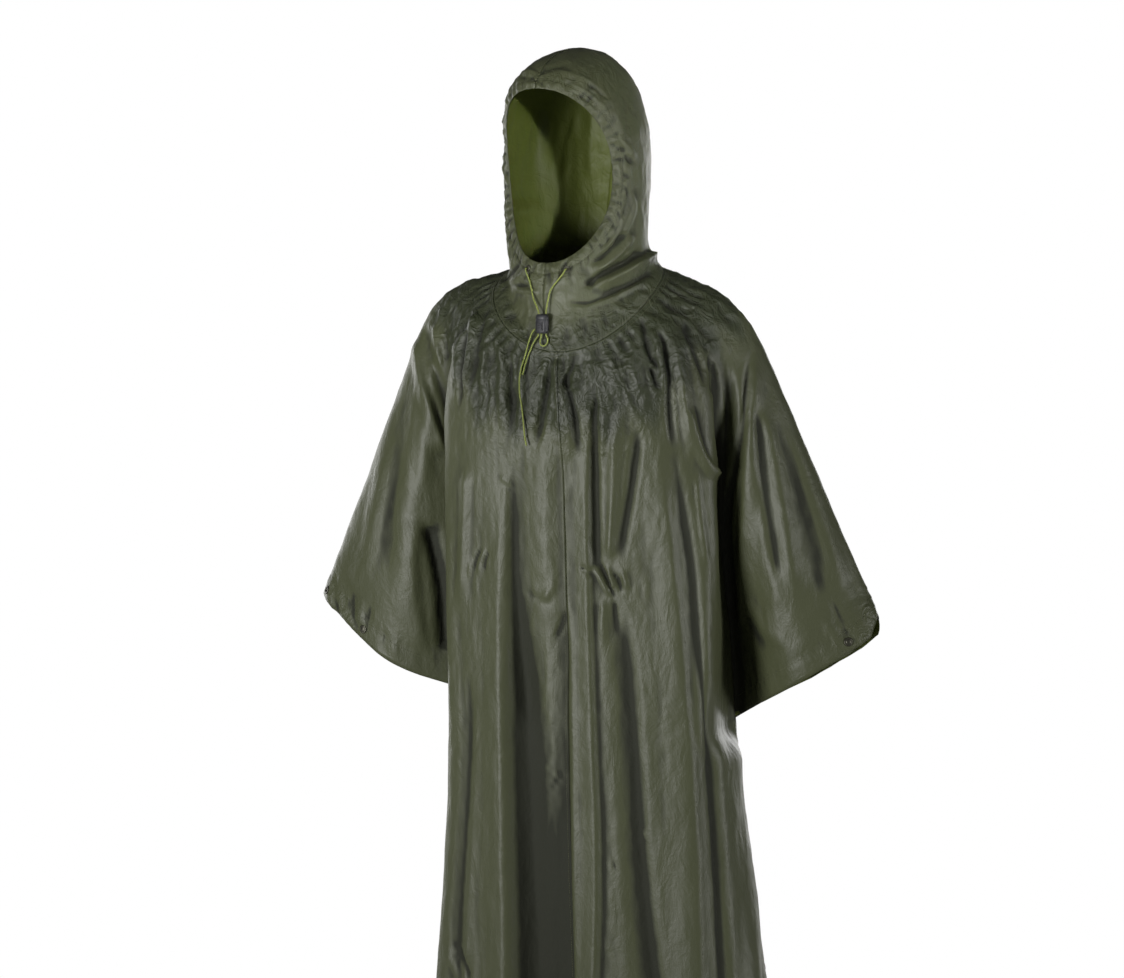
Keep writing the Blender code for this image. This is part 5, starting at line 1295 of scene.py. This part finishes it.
def makeBody(side, word):
    rows = stepPlaces(bodyForm["stepRows"])
    grid = bodyGrid(side, rows)
    piece, places, outward = clothPiece(f"body_{word}_cloth", grid, side, bodyLift(side, grid),
                                        sheetUvOf(grid), bodySpare(grid))
    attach(piece, "root")
    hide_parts(f"body_{word}")
    return piece, places, outward


def hoodLift(side, grid):
    ahead = viewAxes(viewSizes["turn"], viewSizes["rise"])[1]
    downArc, acrossArc = arcOf(grid, 0), arcOf(grid, 1)

    def liftOf(points, normals, rowOf, columnOf, crumple):
        seen = layoutFrom(points)
        plain = points[:, [0, 2]]
        towards = facing(normals, ahead)
        away = 1 - towards
        behind = ease((points[:, 1] - 10) / 30)
        lift = towards * creaseLift(seen, hoodCreases)
        lift -= away * creaseLift(seen, insideCreases)
        lift += behind * creaseLift(plain, hoodBackCreases)
        fromEdge = downArc[rowOf, columnOf]
        toNeck = downArc[-1][columnOf] - fromEdge
        around = acrossArc[0][columnOf]
        lift *= ease(toNeck / 14) * ease((fromEdge + 4) / 12)
        lift += slackLift(points, 1.3, crumple) * ease(toNeck / 14) * ease(fromEdge / 10)
        # the channel swells round the cord, and gathers run back from it
        share = np.clip(fromEdge / seams["channelWidth"], 0, 1)
        lift += seams["channelBulge"] * np.sin(np.pi * share) ** 0.8 * (fromEdge < seams["channelWidth"])
        lift -= seams["channelDip"] * np.exp(-((fromEdge - seams["channelWidth"]) / 2.0) ** 2)
        gathered = ease(fromEdge / 3) * ease(1 - (fromEdge - 8) / seams["gatherReach"])
        lift += seams["gatherHeight"] * ripple(around, seams["gatherPitch"], 0.4) * gathered * 0.5
        # crown seam and neck seam
        fromCrown = acrossArc[rowOf, -1] - acrossArc[rowOf, columnOf]
        lift += seams["crownWelt"] * ease(1 - fromCrown / seams["crownWidth"]) * (side < 0)
        lift += seams["crownWelt"] * ease(1 - toNeck / seams["weltWidth"])
        return lift
    return liftOf


def hoodSpare(grid):
    downArc = arcOf(grid, 0)
    nearEdge = 1 - ease((downArc - 14) / 30)
    nearNeck = 1 - ease((downArc[-1] - downArc - 12) / 52)
    crumple = np.clip(0.3 + 0.6 * nearEdge + 0.75 * nearNeck, 0, 1)
    across = 0.035 + 0.05 * nearEdge + 0.05 * nearNeck
    down = 0.018 + 0.02 * nearEdge + 0.05 * nearNeck
    most = 0.4 + 3.2 * ease(downArc / 10) * ease((downArc[-1] - downArc) / 14)
    columns = np.arange(grid.shape[1])
    most = most * ease((columns + 1) / 6) * ease((grid.shape[1] - columns) / 6)
    # the hood by the neck seam takes painted shade, 0.8 of the yoke's full shade
    return crumple, 0.8 * nearNeck, across, down, most


def makeHood(side, word):
    form = hoodForm
    places = stepPlaces(form["stepRows"])
    places = places * (len(form["rings"]) - 1 - form["neckClear"]) / places[-1]
    angles = np.linspace(180, 0, 241)
    trim = (form["seamGap"] / 2,) * 2
    grid = np.array([alongCurve(hoodRing(place, angles, side), 0, form["columns"], trim) for place in places])
    piece, spots, outward = clothPiece(f"hood_{word}_cloth", grid, side, hoodLift(side, grid),
                                       sheetUvOf(grid), hoodSpare(grid))
    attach(piece, "root")
    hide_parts(f"hood_{word}")
    return piece, spots, outward


clothOf, spotsOf, outwardOf = {}, {}, {}
for clothSide, clothWord in ((-1, "right"), (1, "left")):
    for what, maker in (("body", makeBody), ("hood", makeHood)):
        key = f"{what}_{clothWord}"
        clothOf[key], spotsOf[key], outwardOf[key] = maker(clothSide, clothWord)


stitchSizes = {"length": 2.4, "gap": 1.2, "thick": 0.55, "proud": 0.15}


def pathOnCloth(key, rowOf, columns):  # a line on the cloth's outer face, at a row for each column
    spots, outward = spotsOf[key], outwardOf[key]
    out = []
    for column, row in zip(columns, rowOf):
        i, j = min(int(row), len(spots) - 2), min(int(column), spots.shape[1] - 2)
        s, t = row - i, column - j
        corners = [(1 - s) * (1 - t), (1 - s) * t, s * (1 - t), s * t]
        quad = [spots[i, j], spots[i, j + 1], spots[i + 1, j], spots[i + 1, j + 1]]
        faces = [outward[i, j], outward[i, j + 1], outward[i + 1, j], outward[i + 1, j + 1]]
        spot = sum(w * q for w, q in zip(corners, quad))
        face = sum(w * f for w, f in zip(corners, faces))
        if np.isnan(spot).any():
            continue
        out.append(spot + face / np.linalg.norm(face) * (clothSizes["thickness"] / 2 + stitchSizes["proud"]))
    return np.array(out) * mm


def rowAtDistance(spots, column, distance, start, end):
    # the row that lies this far from an edge row, along a column
    line = spots[start:end + 1, column] if start < end else spots[end:start + 1, column][::-1]
    reach = walked(line)
    place = np.interp(distance, reach, np.arange(len(line)))
    return start + place if start < end else start - place


def stitchTree():
    tree = bpy.data.node_groups.new("lockstitchRows", "GeometryNodeTree")
    tree.interface.new_socket("Geometry", in_out="INPUT", socket_type="NodeSocketGeometry")
    for name, value in (("Stitch length", 0.0024), ("Gap", 0.0012), ("Thread thickness", 0.0005)):
        tree.interface.new_socket(name, in_out="INPUT", socket_type="NodeSocketFloat").default_value = value
    tree.interface.new_socket("Thread", in_out="INPUT", socket_type="NodeSocketMaterial")
    tree.interface.new_socket("Geometry", in_out="OUTPUT", socket_type="NodeSocketGeometry")
    given = nodeIn(tree, "NodeGroupInput")
    pitch = nodeIn(tree, "ShaderNodeMath", operation="ADD",
                   links={0: given.outputs["Stitch length"], 1: given.outputs["Gap"]})
    spaced = nodeIn(tree, "GeometryNodeResampleCurve", links={"Curve": given.outputs["Geometry"],
                                                            "Length": pitch.outputs[0]}, mode="LENGTH")
    tangent = nodeIn(tree, "GeometryNodeInputTangent")
    turn = nodeIn(tree, "FunctionNodeAlignRotationToVector", links={"Vector": tangent.outputs[0]}, axis="Z")
    thread = nodeIn(tree, "GeometryNodeMeshCylinder", {"Vertices": 5, "Side Segments": 1},
                    {"Radius": given.outputs["Thread thickness"], "Depth": given.outputs["Stitch length"]})
    placed = nodeIn(tree, "GeometryNodeInstanceOnPoints", links={
        "Points": spaced.outputs[0], "Instance": thread.outputs["Mesh"], "Rotation": turn.outputs[0]})
    real = nodeIn(tree, "GeometryNodeRealizeInstances", links={"Geometry": placed.outputs[0]})
    dyed = nodeIn(tree, "GeometryNodeSetMaterial", links={"Geometry": real.outputs[0],
                                                          "Material": given.outputs["Thread"]})
    nodeIn(tree, "NodeGroupOutput", links={"Geometry": dyed.outputs[0]})
    return tree


lockstitch = stitchTree()


def sewn(name, paths):
    curve = bpy.data.curves.new(name, "CURVE")
    curve.dimensions = "3D"
    for path in paths:
        if len(path) < 2:
            continue
        line = curve.splines.new("POLY")
        line.points.add(len(path) - 1)
        line.points.foreach_set("co", np.column_stack([path, np.ones(len(path))]).ravel())
    item = bpy.data.objects.new(name, curve)
    bpy.context.scene.collection.objects.link(item)
    rows = item.modifiers.new("stitches", "NODES")
    rows.node_group = lockstitch
    sockets = {s.name: s.identifier for s in lockstitch.interface.items_tree if s.in_out == "INPUT"}
    rows[sockets["Stitch length"]] = stitchSizes["length"] * mm
    rows[sockets["Gap"]] = stitchSizes["gap"] * mm
    rows[sockets["Thread thickness"]] = stitchSizes["thick"] / 2 * mm
    rows[sockets["Thread"]] = sewingThread
    piece = baked(item, name)
    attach(piece, "root")
    print(f"{name}: {len(piece.data.polygons)} faces")
    return piece


def bodyStitches(word):
    key = f"body_{word}"
    spots = spotsOf[key]
    first, sleeve = columnCounts()[:2]
    edge, edge2 = first, first + 2 * sleeve
    cuffIndex = int(np.sum(bodyForm["stepRows"][:bodyForm["cuffRow"]]))
    bottom, wide = len(spots) - 1, spots.shape[1] - 1
    paths = []
    for distance in (2.0, 7.5):  # two rows below the neck seam
        columns = np.arange(0, wide + 0.5, 1.0)
        rows = [rowAtDistance(spots, int(c), distance, 0, 12) for c in columns]
        paths.append(pathOnCloth(key, rows, columns))
    for start, end in ((0, edge), (edge2, wide)):  # hem
        columns = np.arange(start, end + 0.5, 1.0)
        rows = [rowAtDistance(spots, int(c), seams["hemWidth"], bottom, bottom - 14) for c in columns]
        paths.append(pathOnCloth(key, rows, columns))
    columns = np.arange(edge + 1, edge2, 1.0)  # cuff
    rows = [rowAtDistance(spots, int(c), seams["hemWidth"], cuffIndex, cuffIndex - 14) for c in columns]
    paths.append(pathOnCloth(key, rows, columns))
    downRows = np.arange(1, bottom, 1.0)
    centre = 1.6 if word == "right" else 1.0
    for column in ((centre, wide - centre) if word == "right" else ()):  # centre front and back
        paths.append(pathOnCloth(key, downRows, np.full(len(downRows), column)))
    openRows = np.arange(cuffIndex + 1, bottom, 1.0)
    for column in (edge - 2.2, edge2 + 1.6):  # the side edges below the cuffs
        paths.append(pathOnCloth(key, openRows, np.full(len(openRows), column)))
    return sewn(f"stitching_body_{word}", paths)


def hoodStitches(word):
    key = f"hood_{word}"
    spots = spotsOf[key]
    bottom, wide = len(spots) - 1, spots.shape[1] - 1
    columns = np.arange(0, wide + 0.5, 1.0)
    rows = [rowAtDistance(spots, int(c), seams["channelWidth"], 0, 24) for c in columns]
    paths = [pathOnCloth(key, rows, columns)]
    rows = [rowAtDistance(spots, int(c), 3.0, bottom, bottom - 8) for c in columns]
    paths.append(pathOnCloth(key, rows, columns))
    if word == "right":
        downRows = np.arange(1, bottom, 1.0)
        paths.append(pathOnCloth(key, downRows, np.full(len(downRows), wide - 1.4)))
    return sewn(f"stitching_hood_{word}", paths)


for sewnWord in ("right", "left"):
    bodyStitches(sewnWord)
    hoodStitches(sewnWord)


trimSizes = {
    "sides": 32,
    # radius and height of each ring of a turned piece, mm
    "snap": ((0, 2.2), (2.2, 2.2), (3.2, 1.9), (3.6, 1.5), (4.2, 1.6), (5.0, 1.8), (5.8, 1.5), (6.4, 0.9),
             (6.5, 0.3), (6.5, 0)),
    "socket": ((0, 0.7), (1.6, 0.7), (1.8, 1.6), (3.0, 1.6), (3.6, 1.2), (4.4, 1.4), (5.3, 1.1), (5.4, 0.4),
               (5.4, 0)),
    "eyelet": ((2.9, 0), (2.7, 0.5), (2.9, 1.1), (3.5, 1.5), (4.2, 1.6), (4.9, 1.4), (5.4, 0.9), (5.6, 0.3),
               (5.6, 0)),
    "cuffEyelet": ((3.4, 0), (3.2, 0.5), (3.4, 1.1), (4.2, 1.6), (5.0, 1.7), (5.8, 1.5), (6.4, 0.9),
                   (6.6, 0.3), (6.6, 0)),
}


def clothTree(key):
    spots = spotsOf[key] * mm
    verts, faces, number = [], [], {}
    for i in range(spots.shape[0]):
        for j in range(spots.shape[1]):
            if not np.isnan(spots[i, j, 0]):
                number[i, j] = len(verts)
                verts.append(Vector(spots[i, j]))
    side = -1 if key.endswith("right") else 1
    for i in range(spots.shape[0] - 1):
        for j in range(spots.shape[1] - 1):
            quad = [number.get(q) for q in ((i, j), (i + 1, j), (i + 1, j + 1), (i, j + 1))]
            if None not in quad:
                faces.append(quad[::side])
    return BVHTree.FromPolygons(verts, faces)


trees = {key: clothTree(key) for key in spotsOf}


def laidTrim(node, key, profile, face, name):
    # a turned piece laid on the cloth at its node's place; each point stands on the cloth below it
    low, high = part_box(node)
    tree = trees[key]
    centre, normal = tree.find_nearest((Vector(low) + Vector(high)) / 2)[:2]
    across = normal.orthogonal().normalized()
    along = normal.cross(across)
    half = clothSizes["thickness"] / 2 * mm
    mesh = bmesh.new()
    rings = []
    for radius, height in profile:
        ring = []
        for k in range(trimSizes["sides"] if radius else 1):
            a = 2 * math.pi * k / trimSizes["sides"]
            flat = centre + (across * math.cos(a) + along * math.sin(a)) * radius * mm
            foot, lean = tree.find_nearest(flat)[:2]
            lean = (lean + normal * 2).normalized()
            ring.append(mesh.verts.new(foot + lean * (half + 0.0001 + height * mm) * face))
        rings.append(ring)
    for ring, after in zip(rings, rings[1:]):
        for k in range(trimSizes["sides"]):
            following = k + 1
            corners = (ring[k % len(ring)], ring[following % len(ring)],
                       after[following % len(after)], after[k % len(after)])
            mesh.faces.new(dict.fromkeys(corners))
    bmesh.ops.holes_fill(mesh, edges=[e for e in mesh.edges if e.is_boundary], sides=64)
    bmesh.ops.recalc_face_normals(mesh, faces=mesh.faces)
    data = bpy.data.meshes.new(name)
    mesh.to_mesh(data)
    mesh.free()
    data.shade_smooth()
    piece = newPiece(name, data, darkMetal)
    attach(piece, "root")
    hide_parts(node)
    return piece


trimOn = {key: [] for key in spotsOf}
for trimWord in ("right", "left"):
    hoodKey, bodyKey = f"hood_{trimWord}", f"body_{trimWord}"
    plan = [(f"eyelet_hood_{trimWord}", hoodKey, "eyelet", 1),
            (f"eyelet_cuff_{trimWord}", bodyKey, "cuffEyelet", 1),
            (f"eyelet_cuff_{trimWord}_inside", bodyKey, "cuffEyelet", -1)]
    for panel in ("front", "back"):
        plan.append((f"snap_cuff_{trimWord}_{panel}", bodyKey, "snap", 1))
        plan.append((f"snap_cuff_{trimWord}_{panel}_inside", bodyKey, "socket", -1))
    for count in (1, 2, 3):
        plan.append((f"snap_side_{trimWord}_{count}", bodyKey, "snap", 1))
        plan.append((f"snap_side_{trimWord}_{count}_inside", bodyKey, "snap", -1))
    for node, clothKey, kind, face in plan:
        metal = node.replace("_", "_metal_", 1)
        trimOn[clothKey].append(laidTrim(node, clothKey, trimSizes[kind], face, metal))
for nodeName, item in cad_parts.items():
    if nodeName.endswith("_joined"):
        for place in item.material_slots:
            place.material = darkMetal
print("snaps and eyelets")


# The area of each cloth piece as draped: half the area of its thin shell's faces.
for key, piece in clothOf.items():
    mesh = piece.data
    area = sum(p.area for p in mesh.polygons) / 2
    print(f"{key}: {area:.3f} square metres as draped")
